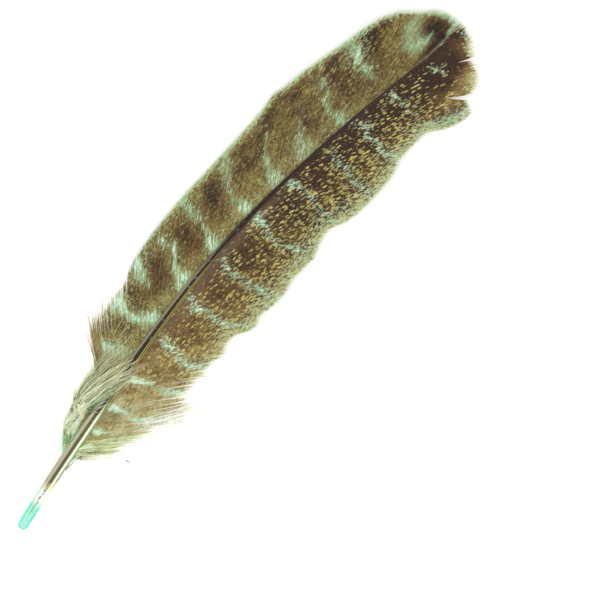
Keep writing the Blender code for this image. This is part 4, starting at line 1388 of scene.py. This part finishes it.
def add_lights(stage):
    """One large soft lamp, and even light from all round."""
    window = bpy.data.lights.new("window", "AREA")
    window.shape = "RECTANGLE"
    window.size = window.size_y = stage.window_size
    window.energy = stage.window
    lamp = bpy.data.objects.new("window", window)
    lamp.location = stage.window_place
    lamp.rotation_euler = (-Vector(stage.window_place)).to_track_quat("-Z", "Y").to_euler()
    bpy.context.scene.collection.objects.link(lamp)

    world = bpy.data.worlds.new("studio")
    world.use_nodes = True
    background = world.node_tree.nodes["Background"]
    background.inputs["Color"].default_value = (1.0, 1.0, 1.0, 1.0)
    background.inputs["Strength"].default_value = stage.dome
    bpy.context.scene.world = world


def add_camera(stage):
    """A camera that looks straight down."""
    lens = bpy.data.cameras.new("camera")
    lens.lens = stage.lens
    lens.clip_start = 0.01
    camera = bpy.data.objects.new("camera", lens)
    far = stage.field * stage.lens / lens.sensor_width
    camera.location = Vector(stage.aim) + Vector((0.0, 0.0, far))
    camera.rotation_euler = (0.0, 0.0, stage.turn)
    bpy.context.scene.collection.objects.link(camera)
    bpy.context.scene.camera = camera


class FEATHER_OT_shaft(Operator):
    """Build the horn shaft with its groove, and the dry pith inside its clear tip"""

    bl_idname = "feather.shaft"
    bl_label = "Shaft and pith"

    def execute(self, context):
        sizes, look, _ = settings()
        add_piece("shaft_horn", shaft_mesh(), horn_material(look, colours()[3]), "shaft")
        add_piece("quill_pith", pith_mesh(sizes), pith_material(), "shaft")
        return {"FINISHED"}


class FEATHER_OT_left_web(Operator):
    """Build the barbs of the narrower left vane"""

    bl_idname = "feather.left_web"
    bl_label = "Left vane barbs"

    def execute(self, context):
        material = barb_material("Left vane", colours()[0], LEFT_PALETTE)
        build_web("left_vane", LEFT, (LEFT_WEB_START, WEB_END), LEFT_VANE_STRANDS, material,
                  0)
        return {"FINISHED"}


class FEATHER_OT_right_web(Operator):
    """Build the barbs of the broader right vane"""

    bl_idname = "feather.right_web"
    bl_label = "Right vane barbs"

    def execute(self, context):
        material = barb_material("Right vane", colours()[1], RIGHT_PALETTE)
        build_web("right_vane", RIGHT, (RIGHT_WEB_START, WEB_END), RIGHT_VANE_STRANDS, material,
                  10)
        return {"FINISHED"}


class FEATHER_OT_down(Operator):
    """Build the loose down on both sides of the quill"""

    bl_idname = "feather.down"
    bl_label = "Down at the base"

    def execute(self, context):
        material = barb_material("Down", colours()[2], DOWN_PALETTE)
        build_web("left_down", LEFT, (LEFT_DOWN_START, LEFT_WEB_START), LEFT_DOWN_STRANDS, material,
                  20)
        build_web("right_down", RIGHT, (RIGHT_DOWN_START, RIGHT_WEB_START), RIGHT_DOWN_STRANDS,
                  material, 30)
        return {"FINISHED"}


class FEATHER_OT_stage(Operator):
    """Lay out the pale floor, the soft lights and the camera above them"""

    bl_idname = "feather.stage"
    bl_label = "Floor, lights and camera"

    def execute(self, context):
        _, look, stage = settings()
        floor = add_floor(look, stage)
        add_lights(stage)
        add_camera(stage)
        context.scene.view_settings.view_transform = "Standard"
        return {"FINISHED"}


class FEATHER_PT_panel(Panel):
    """Lists the feather's pieces"""

    bl_idname = "FEATHER_PT_panel"
    bl_label = "Wing feather"
    bl_space_type = "VIEW_3D"
    bl_region_type = "UI"
    bl_category = "Feather"

    def draw(self, context):
        for operator in OPERATORS:
            self.layout.operator(operator.bl_idname)
        for group in settings() + colours():
            box = self.layout.box()
            for name in group.__annotations__:
                box.prop(group, name)


OPERATORS = (FEATHER_OT_shaft, FEATHER_OT_left_web, FEATHER_OT_right_web, FEATHER_OT_down,
             FEATHER_OT_stage)
GROUPS = {"feather_sizes": FeatherSizes, "feather_look": FeatherLook, "feather_stage": StageSettings,
          "feather_left": LeftColours, "feather_right": RightColours, "feather_down": DownColours,
          "feather_horn": HornColours}
CLASSES = (*GROUPS.values(), *OPERATORS, FEATHER_PT_panel)


def register():
    for cls in CLASSES:
        bpy.utils.register_class(cls)
    for name, group in GROUPS.items():
        setattr(bpy.types.Scene, name, PointerProperty(type=group))


def unregister():
    for name in GROUPS:
        delattr(bpy.types.Scene, name)
    for cls in reversed(CLASSES):
        bpy.utils.unregister_class(cls)


def main():
    """Build the whole scene."""
    register()
    bpy.ops.feather.shaft()
    bpy.ops.feather.left_web()
    bpy.ops.feather.right_web()
    bpy.ops.feather.down()
    bpy.ops.feather.stage()


if __name__ == "__main__":
    main()
